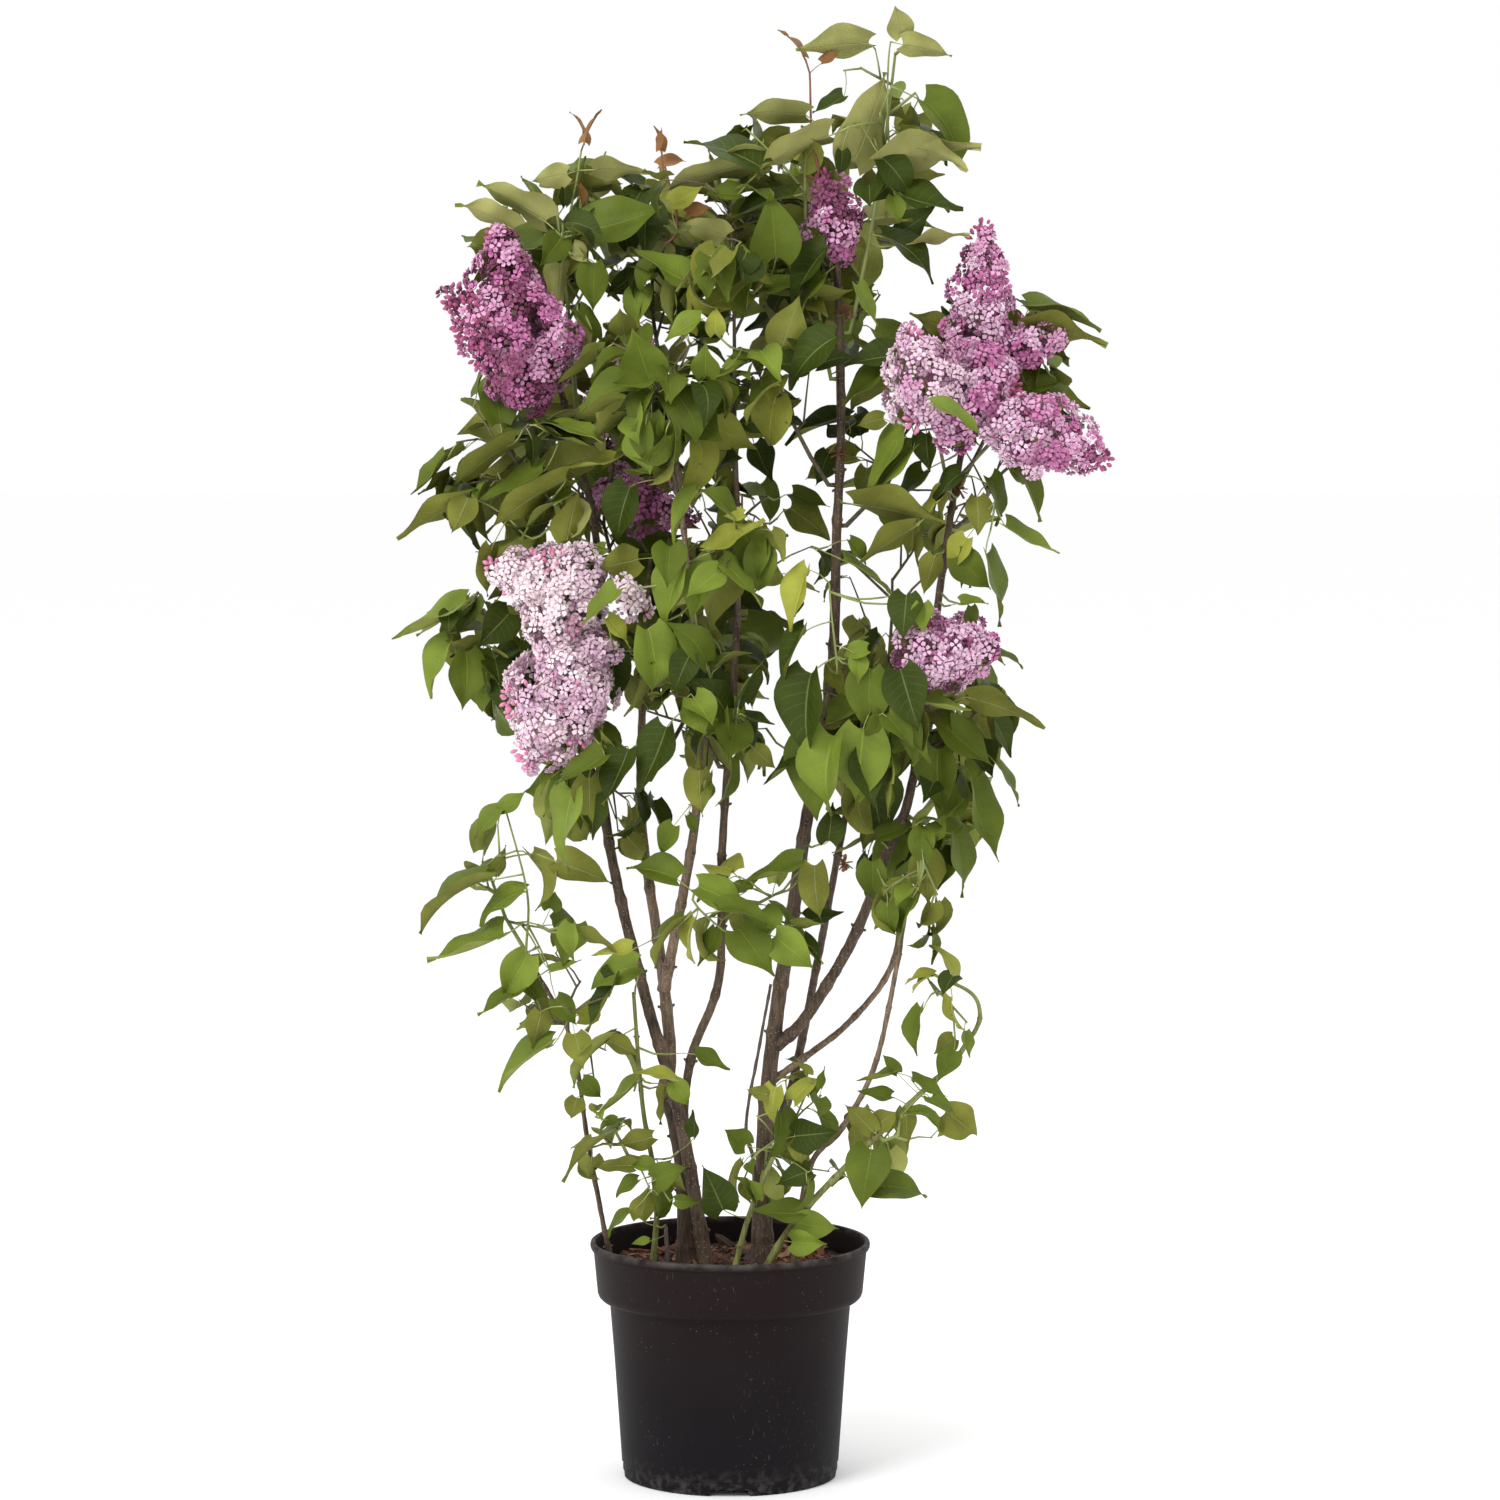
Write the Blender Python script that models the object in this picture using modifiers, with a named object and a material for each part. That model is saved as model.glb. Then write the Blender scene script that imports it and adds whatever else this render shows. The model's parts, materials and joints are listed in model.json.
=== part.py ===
"""Potted lilac bush in flower: a nursery pot, its compost, a clump of stems, leaf masses and flower heads.

Metres, +Z up. The origin is the middle of the pot's flat underside, +X runs to the right of the view
that the bush is drawn from, and +Y runs away from it. Every limb and every space that leaves fill is
placed by how far across and how far up it is seen, and by how far behind the pot's middle it stands.
"""

import math
import random
from collections import namedtuple

import bmesh
import bpy
from mathutils import Matrix, Vector
from mathutils.bvhtree import BVHTree

NAME = "lilac_bush"
GAP = 0.0003
UP = Vector((0.0, 0.0, 1.0))

# The point that the bush is drawn from
EYE = Vector((0.020, -5.45, 1.225))

# Pot
POT_HEIGHT = 0.238
POT_LIP_RADIUS = 0.141
POT_LIP_HEIGHT = 0.007
POT_BAND_TOP_RADIUS = 0.1378
POT_BAND_LOW_RADIUS = 0.1340
POT_BAND_HEIGHT = 0.058
POT_BODY_TOP_RADIUS = 0.1210
POT_FOOT_RADIUS = 0.1085
POT_WALL = 0.0022
POT_FLOOR = 0.0030
POT_FOOT_RING_WIDTH = 0.0080
POT_FOOT_RING_HEIGHT = 0.0065
POT_PAD_RADIUS = 0.030
POT_STEPS = 24
NOTCH_WIDTH = 0.044
NOTCH_HEIGHT = 0.0060
NOTCHES = 4

# Compost
SOIL_TOP = 0.213

# Wood
FOOT_DEPTH = 0.008
FLARE_HEIGHT = 0.030
LIMB_STEP = 0.072
THICK_LIMB = 0.0062
FORK_SHARE = 0.6

# Leaf masses
STEM_FOOT = 0.0030
STEM_TIP = 0.0020
TWIG_FOOT = 0.0024
TWIG_TIP = 0.0016
LEAF_STEP = 0.040
LEAF_WIDTH = 0.50
LEAF_WIDEST = 0.46
LEAF_THICKNESS = 0.024
LEAF_FOLD = 0.09
LEAF_TRIES = 6
PAIR_OFFSET = 0.006
LEAF_SINK = 0.0004
LEAF_TIP_DROP = 0.10
LEAF_SIZES = (0.85, 1.15)
LEAF_SHRINK = 0.05
LEAF_SPREAD = 0.85
LEAF_AHEAD = 0.30
LEAF_OUTWARD = 0.35
LEAF_HANG = (0.6, 1.3)
FACE_UP = 0.75
FACE_OUT = 0.55
FACE_SWAY = 0.3
GOLDEN_TURN = math.radians(137.5)
MASS_RISE = 0.45
MASS_RISE_LOSS = 0.40
MASS_SWAY = 0.2
MASS_STEM_STEP = 0.045
TWIGS_FROM = 0.45
TWIGS_TO = 0.95
TWIG_SWAY = 0.4
TWIG_LEVEL = 0.85
TWIG_LIFT = 0.1
TWIG_REACH = (0.45, 0.62)
LEAVE_TIP = 0.012
LEAVE_SIDE = 0.006

Limb = namedtuple("Limb", "name parent foot tip flare path")
Head = namedtuple("Head", "name limb at tint branches")
Mass = namedtuple("Mass", "name limb at centre reach shoots leaf droop")

# Each path is seen across, up and behind, from the foot to the tip
LIMBS = (
    Limb("trunk_left", "soil", 0.0112, 0.0095, 0.55, (
        (-0.039, 0.205, 0.000), (-0.044, 0.300, 0.004), (-0.054, 0.360, 0.006), (-0.062, 0.383, 0.008))),
    Limb("stem_left", "soil", 0.0070, 0.0030, 0.15, (
        (-0.022, 0.205, -0.024), (-0.051, 0.365, -0.022), (-0.085, 0.485, -0.010), (-0.121, 0.640, 0.005),
        (-0.133, 0.776, 0.015), (-0.133, 0.942, 0.025), (-0.171, 1.105, 0.000))),
    Limb("bough_left_inner", "trunk_left_tip", 0.0065, 0.0028, 0.0, (
        (-0.062, 0.383, 0.008), (-0.060, 0.425, 0.012), (-0.069, 0.518, 0.018), (-0.087, 0.646, 0.035),
        (-0.089, 0.738, 0.055), (-0.080, 0.915, 0.085))),
    Limb("bough_left_rising", "bough_left_inner", 0.0055, 0.0022, 0.0, (
        (-0.067, 0.490, 0.016), (-0.056, 0.544, -0.004), (-0.034, 0.671, -0.030), (-0.030, 0.812, -0.045),
        (-0.040, 0.896, -0.050), (-0.055, 1.045, -0.040))),
    Limb("bough_centre", "trunk_left", 0.0046, 0.0032, 0.0, (
        (-0.050, 0.337, 0.004), (-0.039, 0.424, -0.004), (-0.011, 0.505, -0.020), (-0.008, 0.633, -0.030),
        (0.007, 0.865, -0.030), (0.005, 1.039, -0.030))),
    Limb("stem_right", "soil", 0.0090, 0.0032, 0.45, (
        (0.033, 0.205, 0.000), (0.035, 0.352, 0.000), (0.047, 0.470, -0.008), (0.061, 0.557, -0.015),
        (0.076, 0.659, -0.020), (0.101, 0.802, -0.025), (0.106, 0.942, -0.030), (0.111, 1.082, -0.030),
        (0.106, 1.220, -0.020))),
    Limb("bough_right_inner", "stem_right", 0.0046, 0.0030, 0.0, (
        (0.036, 0.335, 0.000), (0.057, 0.378, 0.018), (0.072, 0.440, 0.034), (0.104, 0.607, 0.070),
        (0.138, 0.785, 0.105))),
    Limb("bough_right_outer", "stem_right", 0.0060, 0.0030, 0.0, (
        (0.045, 0.435, -0.005), (0.074, 0.462, -0.020), (0.122, 0.541, -0.035), (0.153, 0.620, -0.042),
        (0.183, 0.704, -0.045), (0.214, 0.929, -0.030), (0.231, 1.036, -0.020))),
    Limb("bough_right_low", "stem_right", 0.0036, 0.0024, 0.0, (
        (0.041, 0.399, 0.000), (0.071, 0.421, 0.004), (0.117, 0.457, 0.014), (0.158, 0.508, 0.026),
        (0.173, 0.569, 0.032), (0.178, 0.646, 0.036))),
    Limb("stem_right_thin", "soil", 0.0032, 0.0022, 0.2, (
        (0.062, 0.205, -0.020), (0.080, 0.311, -0.050), (0.111, 0.350, -0.062), (0.143, 0.409, -0.068),
        (0.163, 0.493, -0.068), (0.188, 0.646, -0.062))),
    Limb("stem_centre_thin", "soil", 0.0020, 0.0014, 0.2, (
        (0.022, 0.205, -0.036), (0.024, 0.311, -0.040), (0.016, 0.355, -0.040), (0.029, 0.433, -0.036),
        (0.041, 0.498, -0.032))),
    Limb("sucker_left", "soil", 0.0027, 0.0018, 0.2, (
        (-0.117, 0.205, 0.010), (-0.126, 0.245, 0.006), (-0.143, 0.337, -0.004), (-0.160, 0.442, -0.012),
        (-0.197, 0.516, -0.020))),
    Limb("shoot_left", "soil", 0.0030, 0.0018, 0.2, (
        (-0.079, 0.205, -0.034), (-0.074, 0.286, -0.044), (-0.088, 0.375, -0.048),
        (-0.097, 0.490, -0.050))),
    Limb("shoot_centre", "soil", 0.0030, 0.0022, 0.2, (
        (0.001, 0.205, -0.062), (0.019, 0.263, -0.066), (0.044, 0.324, -0.072))),
    Limb("shoot_right", "soil", 0.0036, 0.0026, 0.2, (
        (0.026, 0.205, -0.070), (0.072, 0.265, -0.080), (0.179, 0.375, -0.092), (0.222, 0.416, -0.092),
        (0.240, 0.442, -0.088))),
    Limb("shoot_right_hook", "shoot_right_tip", 0.0024, 0.0015, 0.0, (
        (0.240, 0.442, -0.088), (0.251, 0.468, -0.084), (0.242, 0.489, -0.080), (0.204, 0.508, -0.076))),
    Limb("stub_dry", "soil", 0.0022, 0.0018, 0.2, (
        (-0.062, 0.205, -0.046), (-0.065, 0.253, -0.050))),
)

# Each branch of a flower head is seen from its foot to its tip, with its greatest radius
HEADS = (
    Head("flowers_left_top", "stem_left", "tip", "plum", (
        ((-0.180, 1.085, -0.030), (-0.232, 1.250, -0.045), 0.046),
        ((-0.225, 1.130, -0.045), (-0.281, 1.190, -0.055), 0.025),
        ((-0.195, 1.125, -0.035), (-0.166, 1.142, -0.050), 0.022),
        ((-0.200, 1.120, -0.035), (-0.216, 1.082, -0.045), 0.022))),
    Head("flowers_top", "stem_right", "tip", "plum", (
        ((0.110, 1.228, -0.018), (0.096, 1.308, -0.030), 0.026),)),
    Head("flowers_right_upright", "bough_right_outer", "tip", "lilac", (
        ((0.248, 1.070, -0.020), (0.252, 1.256, -0.030), 0.037),
        ((0.266, 1.125, -0.030), (0.328, 1.148, -0.040), 0.020))),
    Head("flowers_right_pale", "bough_right_outer", 0.985, "pale", (
        ((0.205, 1.062, -0.095), (0.178, 1.152, -0.105), 0.038),)),
    Head("flowers_right_hanging", "bough_right_outer", 1.010, "pink", (
        ((0.268, 1.062, -0.098), (0.372, 1.024, -0.104), 0.036),
        ((0.272, 1.060, -0.098), (0.248, 1.036, -0.104), 0.021))),
    Head("flowers_left_low", "stem_left", 0.870, "white", (
        ((-0.120, 0.893, -0.050), (-0.240, 0.916, -0.068), 0.039),
        ((-0.112, 0.893, -0.060), (-0.086, 0.878, -0.070), 0.020))),
    Head("flowers_left_hanging", "stem_left", 0.815, "blush", (
        ((-0.150, 0.832, -0.062), (-0.200, 0.716, -0.074), 0.050),
        ((-0.148, 0.832, -0.066), (-0.112, 0.832, -0.076), 0.021))),
    Head("flowers_right_middle", "bough_right_outer", 0.775, "pink", (
        ((0.172, 0.826, -0.110), (0.264, 0.836, -0.115), 0.038),)),
    Head("flowers_inner", "bough_left_inner", "tip", "plum", (
        ((-0.088, 0.965, 0.060), (-0.036, 0.980, 0.040), 0.026),)),
    Head("flowers_back_left", "stem_left", 0.960, "lilac", (
        ((-0.110, 1.030, 0.120), (-0.085, 1.150, 0.190), 0.038),)),
    Head("flowers_back_right", "bough_right_inner", "tip", "pink", (
        ((0.130, 0.840, 0.150), (0.100, 0.940, 0.195), 0.038),)),
)
HEAD_STEM = 0.0022
HEAD_ARM = 0.0040
PANICLE_SIDES = 9
PANICLE_RINGS = 8
PANICLE_WIDEST = 0.40
PANICLE_TAPER = 0.75
PANICLE_LOBES = 0.16
PANICLE_LOBE_COUNT = 3
PANICLE_WIND = 7.0

# A mass leaves its limb at a height or at the tip, and fills the space round its centre
MASSES = (
    Mass("leaves_top_right", "stem_right", 1.15,
         (0.16, 1.385, -0.01), (0.112, 0.125, 0.132), 6, 0.104, 0.1),
    Mass("leaves_top_shoot", "stem_right", 1.105,
         (0.064, 1.36, -0.02), (0.095, 0.11, 0.112), 4, 0.09, 0.05),
    Mass("leaves_top_back", "stem_right", 1.04,
         (0.105, 1.225, 0.13), (0.14, 0.11, 0.12), 5, 0.095, 0.4),
    Mass("leaves_top_centre", "bough_centre", "tip",
         (0.004, 1.245, -0.04), (0.105, 0.13, 0.125), 5, 0.094, 0.4),
    Mass("leaves_top_middle", "bough_left_rising", "tip",
         (-0.085, 1.235, 0.04), (0.095, 0.13, 0.12), 5, 0.09, 0.4),
    Mass("leaves_top_left", "stem_left", 1.06,
         (-0.165, 1.25, 0.01), (0.112, 0.12, 0.13), 5, 0.09, 0.35),
    Mass("leaves_left_upper", "stem_left", 0.99,
         (-0.222, 1.02, -0.03), (0.128, 0.12, 0.11), 6, 0.1, 0.6),
    Mass("leaves_left_back", "bough_left_inner", 0.84,
         (-0.14, 1.03, 0.165), (0.14, 0.11, 0.15), 6, 0.096, 0.6),
    Mass("leaves_left_middle", "stem_left", 0.775,
         (-0.225, 0.83, 0.06), (0.112, 0.12, 0.115), 5, 0.094, 0.8),
    Mass("leaves_left_low", "stem_left", 0.7,
         (-0.14, 0.72, -0.02), (0.11, 0.12, 0.11), 5, 0.09, 0.95),
    Mass("leaves_centre_upper", "bough_left_rising", 0.985,
         (-0.07, 1.09, -0.08), (0.115, 0.105, 0.125), 5, 0.088, 0.5),
    Mass("leaves_centre_right", "stem_right", 1.0,
         (0.045, 1.105, -0.05), (0.085, 0.12, 0.125), 4, 0.092, 0.55),
    Mass("leaves_centre", "bough_centre", 0.88,
         (0.01, 0.955, -0.06), (0.115, 0.12, 0.115), 5, 0.092, 0.7),
    Mass("leaves_centre_low", "bough_centre", 0.72,
         (-0.04, 0.785, -0.06), (0.11, 0.12, 0.11), 5, 0.094, 0.9),
    Mass("leaves_centre_back", "bough_left_inner", 0.7,
         (-0.01, 0.86, 0.14), (0.125, 0.12, 0.15), 5, 0.096, 0.7),
    Mass("leaves_right_upper", "stem_right", 0.96,
         (0.175, 1.03, 0.01), (0.09, 0.125, 0.12), 4, 0.094, 0.7),
    Mass("leaves_right_outer", "bough_right_outer", 0.96,
         (0.255, 0.985, 0.0), (0.082, 0.12, 0.115), 4, 0.092, 0.8),
    Mass("leaves_right_behind", "bough_right_outer", 1.0,
         (0.278, 1.11, 0.07), (0.11, 0.11, 0.085), 4, 0.092, 0.35),
    Mass("leaves_right_back", "bough_right_inner", 0.72,
         (0.17, 0.89, 0.14), (0.13, 0.12, 0.15), 6, 0.096, 0.7),
    Mass("leaves_right_front", "stem_right", 0.83,
         (0.13, 0.765, -0.09), (0.105, 0.11, 0.13), 5, 0.112, 1.2),
    Mass("leaves_right_middle", "bough_right_outer", 0.74,
         (0.235, 0.765, -0.01), (0.092, 0.12, 0.11), 5, 0.094, 0.9),
    Mass("leaves_right_low", "bough_right_low", "tip",
         (0.21, 0.65, 0.03), (0.098, 0.11, 0.09), 4, 0.086, 1.0),
    Mass("leaves_centre_lower", "bough_centre", 0.585,
         (0.025, 0.575, -0.06), (0.095, 0.08, 0.07), 3, 0.074, 0.6),
    Mass("leaves_thin_stem", "stem_right_thin", "tip",
         (0.19, 0.59, -0.105), (0.06, 0.065, 0.085), 3, 0.07, 1.0),
    Mass("leaves_sucker_top", "sucker_left", "tip",
         (-0.235, 0.59, -0.03), (0.105, 0.09, 0.125), 3, 0.088, 0.5),
    Mass("leaves_sucker", "sucker_left", 0.43,
         (-0.165, 0.46, -0.03), (0.098, 0.095, 0.12), 4, 0.084, 0.7),
    Mass("leaves_shoot_left", "shoot_left", 0.33,
         (-0.11, 0.33, -0.07), (0.085, 0.075, 0.095), 3, 0.06, 0.6),
    Mass("leaves_foot_right", "shoot_centre", "tip",
         (0.045, 0.325, -0.08), (0.085, 0.08, 0.1), 4, 0.07, 0.6),
    Mass("leaves_shoot_right", "shoot_right", 0.36,
         (0.175, 0.35, -0.1), (0.085, 0.08, 0.08), 3, 0.078, 0.7),
    Mass("leaves_hook", "shoot_right_hook", "tip",
         (0.215, 0.48, -0.085), (0.06, 0.06, 0.08), 3, 0.064, 0.6),
)

WOOD = {
    "trunk_left": (0.105, 0.062, 0.045),
    "stem_left": (0.100, 0.080, 0.068),
    "bough_left_inner": (0.170, 0.130, 0.105),
    "bough_left_rising": (0.185, 0.145, 0.118),
    "bough_right_inner": (0.060, 0.045, 0.040),
    "bough_right_low": (0.230, 0.175, 0.145),
    "shoot_left": (0.200, 0.230, 0.070),
    "shoot_centre": (0.190, 0.240, 0.070),
    "shoot_right": (0.190, 0.250, 0.060),
    "shoot_right_hook": (0.220, 0.290, 0.080),
}
WOOD_BROWN = (0.120, 0.088, 0.074)
LEAF_GREEN = (0.060, 0.125, 0.030)
LEAF_YOUNG = (0.130, 0.230, 0.045)
YOUNG_MASSES = ("leaves_foot_right", "leaves_shoot_right", "leaves_hook", "leaves_shoot_left")
TINTS = {
    "plum": (0.260, 0.060, 0.220),
    "lilac": (0.430, 0.190, 0.400),
    "pale": (0.600, 0.390, 0.580),
    "pink": (0.470, 0.190, 0.360),
    "white": (0.740, 0.600, 0.680),
    "blush": (0.640, 0.420, 0.540),
}


def clear_scene():
    for thing in list(bpy.data.objects):
        bpy.data.objects.remove(thing, do_unlink=True)


def collection(name):
    made = bpy.data.collections.new(name)
    bpy.context.scene.collection.children.link(made)
    return made


def material(name, colour, roughness):
    made = bpy.data.materials.new(name)
    made.use_nodes = True
    shader = made.node_tree.nodes["Principled BSDF"]
    shader.inputs["Base Color"].default_value = (*colour, 1.0)
    shader.inputs["Roughness"].default_value = roughness
    shader.inputs["Metallic"].default_value = 0.0
    return made


def add_object(name, mesh, home, finish=None):
    made = bpy.data.objects.new(name, mesh)
    home.objects.link(made)
    if finish:
        made.data.materials.clear()
        made.data.materials.append(finish)
    return made


def place(seen):
    """The point behind the pot's middle that is seen from the eye at this place across and up."""
    across, up, back = seen
    ray = Vector((across, 0.0, up)) - EYE
    return EYE + ray * ((back - EYE.y) / -EYE.y)


def smooth_path(points, step):
    """Points about a step apart on a smooth curve through these points."""
    ends = [points[0] * 2 - points[1], *points, points[-1] * 2 - points[-2]]
    path = []
    for a, b, c, d in zip(ends, ends[1:], ends[2:], ends[3:]):
        count = max(1, round((c - b).length / step))
        for i in range(count):
            t = i / count
            path.append(0.5 * (2 * b + (c - a) * t + (2 * a - 5 * b + 4 * c - d) * t ** 2
                               + (3 * b - a - 3 * c + d) * t ** 3))
    path.append(points[-1].copy())
    return path


def lengths_along(path):
    run = [0.0]
    for a, b in zip(path, path[1:]):
        run.append(run[-1] + (b - a).length)
    return run


def tube_mesh(path, radii, sides):
    """A closed tube along a path, from a curve with a bevel and filled caps."""
    curve = bpy.data.curves.new("tube", "CURVE")
    curve.dimensions = "3D"
    curve.twist_mode = "MINIMUM"
    curve.bevel_depth = 1.0
    curve.bevel_resolution = (sides - 4) // 2
    curve.use_fill_caps = True
    spline = curve.splines.new("POLY")
    spline.points.add(len(path) - 1)
    for point, spot, radius in zip(spline.points, path, radii):
        point.co = (*spot, 1.0)
        point.radius = radius
    holder = bpy.data.objects.new("tube", curve)
    bpy.context.scene.collection.objects.link(holder)
    graph = bpy.context.evaluated_depsgraph_get()
    mesh = bpy.data.meshes.new_from_object(holder.evaluated_get(graph))
    bpy.data.objects.remove(holder, do_unlink=True)
    bpy.data.curves.remove(curve)
    shaped = bmesh.new()
    shaped.from_mesh(mesh)
    bmesh.ops.remove_doubles(shaped, verts=shaped.verts, dist=1e-6)
    bmesh.ops.recalc_face_normals(shaped, faces=shaped.faces)
    shaped.to_mesh(mesh)
    shaped.free()
    return mesh


def cut_flat(mesh, height):
    """Cuts a mesh flat at a height, and closes the cut."""
    shaped = bmesh.new()
    shaped.from_mesh(mesh)
    every = [*shaped.verts, *shaped.edges, *shaped.faces]
    cut = bmesh.ops.bisect_plane(
        shaped, geom=every, plane_co=UP * height, plane_no=UP, clear_inner=True)
    rim = [edge for edge in cut["geom_cut"] if isinstance(edge, bmesh.types.BMEdge)]
    bmesh.ops.holes_fill(shaped, edges=rim)
    bmesh.ops.recalc_face_normals(shaped, faces=shaped.faces)
    shaped.to_mesh(mesh)
    shaped.free()


def turned(name, profile, home, finish):
    """A solid turned round the Z axis, from a profile that starts and ends on the axis."""
    mesh = bpy.data.meshes.new(name)
    points = [(radius, 0.0, height) for radius, height in profile]
    mesh.from_pydata(points, [(i, i + 1) for i in range(len(points) - 1)], [])
    made = add_object(name, mesh, home, finish)
    screw = made.modifiers.new("turn", "SCREW")
    screw.axis = "Z"
    screw.steps = POT_STEPS
    screw.render_steps = POT_STEPS
    screw.use_merge_vertices = True
    screw.merge_threshold = 1e-5
    return made


def body_radius(height):
    """The pot body's outer radius, which tapers from under the band to the foot."""
    share = height / (POT_HEIGHT - POT_BAND_HEIGHT)
    return POT_FOOT_RADIUS + (POT_BODY_TOP_RADIUS - POT_FOOT_RADIUS) * share


def pot_bore():
    """The pot's inner wall from the floor to the rim, as radius and height."""
    floor = POT_FOOT_RING_HEIGHT + POT_FLOOR
    under_band = POT_HEIGHT - POT_BAND_HEIGHT
    return (
        (body_radius(floor) - POT_WALL - 0.004, floor),
        (body_radius(floor) - POT_WALL, floor + 0.004),
        (body_radius(under_band) - POT_WALL, under_band - 0.002),
        (POT_BAND_LOW_RADIUS - POT_WALL, under_band + 0.006),
        (POT_BAND_TOP_RADIUS - POT_WALL, POT_HEIGHT - 0.004),
    )


def build_pot(home, cutters):
    under_band = POT_HEIGHT - POT_BAND_HEIGHT
    inner = POT_BAND_TOP_RADIUS - POT_WALL
    ring = POT_FOOT_RADIUS - POT_FOOT_RING_WIDTH
    profile = [(0.0, POT_FOOT_RING_HEIGHT + POT_FLOOR), *pot_bore()]
    profile += [
        (inner + 0.0006, POT_HEIGHT),
        (POT_LIP_RADIUS - 0.0012, POT_HEIGHT),
        (POT_LIP_RADIUS, POT_HEIGHT - 0.0018),
        (POT_LIP_RADIUS - 0.0004, POT_HEIGHT - POT_LIP_HEIGHT),
        (POT_BAND_TOP_RADIUS, POT_HEIGHT - POT_LIP_HEIGHT - 0.001),
        (POT_BAND_LOW_RADIUS, under_band + 0.008),
        (POT_BAND_LOW_RADIUS - 0.0025, under_band + 0.0015),
        (POT_BAND_LOW_RADIUS - 0.0065, under_band),
        (body_radius(under_band) + 0.0006, under_band - 0.003),
        (body_radius(0.120), 0.120),
        (body_radius(0.016), 0.016),
        (body_radius(0.014) - 0.0012, 0.013),
        (POT_FOOT_RADIUS, 0.0105),
        (POT_FOOT_RADIUS - 0.0006, 0.0),
        (ring, 0.0),
        (ring - 0.001, POT_FOOT_RING_HEIGHT),
        (POT_PAD_RADIUS + 0.002, POT_FOOT_RING_HEIGHT),
        (POT_PAD_RADIUS, 0.0),
        (0.0, 0.0),
    ]
    pot = turned("pot", profile, home, material("pot_plastic", (0.012, 0.011, 0.011), 0.45))
    for i in range(NOTCHES):
        turn = math.radians(-90.0 + i * 360.0 / NOTCHES)
        bpy.ops.mesh.primitive_cube_add(size=1.0, location=(
            math.cos(turn) * POT_FOOT_RADIUS, math.sin(turn) * POT_FOOT_RADIUS, 0.0))
        cutter = bpy.context.active_object
        cutter.name = f"notch_{i + 1}"
        cutter.rotation_euler.z = turn
        cutter.scale = (POT_FOOT_RING_WIDTH * 3.2, NOTCH_WIDTH, NOTCH_HEIGHT * 2)
        hide_cutter(cutter, cutters)
        cut = pot.modifiers.new(cutter.name, "BOOLEAN")
        cut.operation = "DIFFERENCE"
        cut.object = cutter
    return pot


def hide_cutter(cutter, cutters):
    for home in list(cutter.users_collection):
        home.objects.unlink(cutter)
    cutters.objects.link(cutter)
    cutter.hide_render = True
    cutter.display_type = "WIRE"


def build_soil(home):
    """The root ball fills the pot up to a flat top, clear of its wall."""
    bore = pot_bore()
    (low_radius, low), (high_radius, high) = bore[3:]
    share = (SOIL_TOP - low) / (high - low)
    top_radius = low_radius + (high_radius - low_radius) * share
    profile = [(0.0, SOIL_TOP), (top_radius - 2 * GAP, SOIL_TOP)]
    profile += [(radius - 2 * GAP, height + GAP) for radius, height in reversed(bore[:4])]
    profile += [(0.0, bore[0][1] + GAP)]
    return turned("soil", profile, home, material("compost", (0.060, 0.026, 0.016), 0.95))


def limb_lines():
    """Each limb's smooth path and its radius at each point of it."""
    lines = {}
    for limb in LIMBS:
        points = [place(seen) for seen in limb.path]
        if limb.parent == "soil":
            points[0].z = SOIL_TOP - FOOT_DEPTH
        if limb.parent.endswith("_tip"):
            points[:1] = leave_limb(lines[limb.parent[:-4]], "tip", points[1])
        path = smooth_path(points, LIMB_STEP)
        run = lengths_along(path)
        radii = []
        for point, far in zip(path, run):
            radius = limb.foot + (limb.tip - limb.foot) * far / run[-1]
            rise = max(0.0, point.z - SOIL_TOP) / FLARE_HEIGHT
            radii.append(radius * (1.0 + limb.flare * math.exp(-rise)))
        if limb.parent in lines:
            path[0], _, parent_radius = point_at(lines[limb.parent], path[0].z)
            radii[0] = min(radii[0], parent_radius * FORK_SHARE)
        lines[limb.name] = (path, radii)
    return lines


def build_limb(limb, lines, home, cutters):
    path, radii = lines[limb.name]
    sides = 8 if limb.foot > THICK_LIMB else 6
    mesh = tube_mesh(path, radii, sides)
    if limb.parent == "soil":
        cut_flat(mesh, SOIL_TOP + GAP)
    finish = material(limb.name + "_bark", WOOD.get(limb.name, WOOD_BROWN), 0.8)
    made = add_object(limb.name, mesh, home, finish)
    if limb.parent in lines:
        parent_path, parent_radii = lines[limb.parent]
        wider = tube_mesh(parent_path, [radius + 1.5 * GAP for radius in parent_radii], 8)
        cutter = add_object(limb.name + "_foot_cut", wider, cutters)
        hide_cutter(cutter, cutters)
        cut = made.modifiers.new("foot", "BOOLEAN")
        cut.operation = "DIFFERENCE"
        cut.object = cutter
    return made


def point_at(line, height):
    """Where a limb's line passes a height: the point, the line's direction and its radius there."""
    path, radii = line
    for i in range(len(path) - 1):
        a, b = path[i], path[i + 1]
        if a.z <= height <= b.z:
            share = (height - a.z) / (b.z - a.z)
            radius = radii[i] + (radii[i + 1] - radii[i]) * share
            return a.lerp(b, share), (b - a).normalized(), radius
    return path[-1], (path[-1] - path[-2]).normalized(), radii[-1]


def leave_limb(line, at, towards):
    """The first two points of a stem that meets a limb's tip or side, clear of it."""
    path, radii = line
    if at == "tip":
        along = (path[-1] - path[-2]).normalized()
        start = path[-1] + along * GAP
        return [start, start + along * LEAVE_TIP]
    point, along, radius = point_at(line, at)
    side = towards - point
    side -= along * side.dot(along)
    side.normalize()
    start = point + side * (radius + GAP)
    return [start, start + side * LEAVE_SIDE]


def linear_radii(path, foot, tip):
    run = lengths_along(path)
    return [foot + (tip - foot) * far / run[-1] for far in run]


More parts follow.
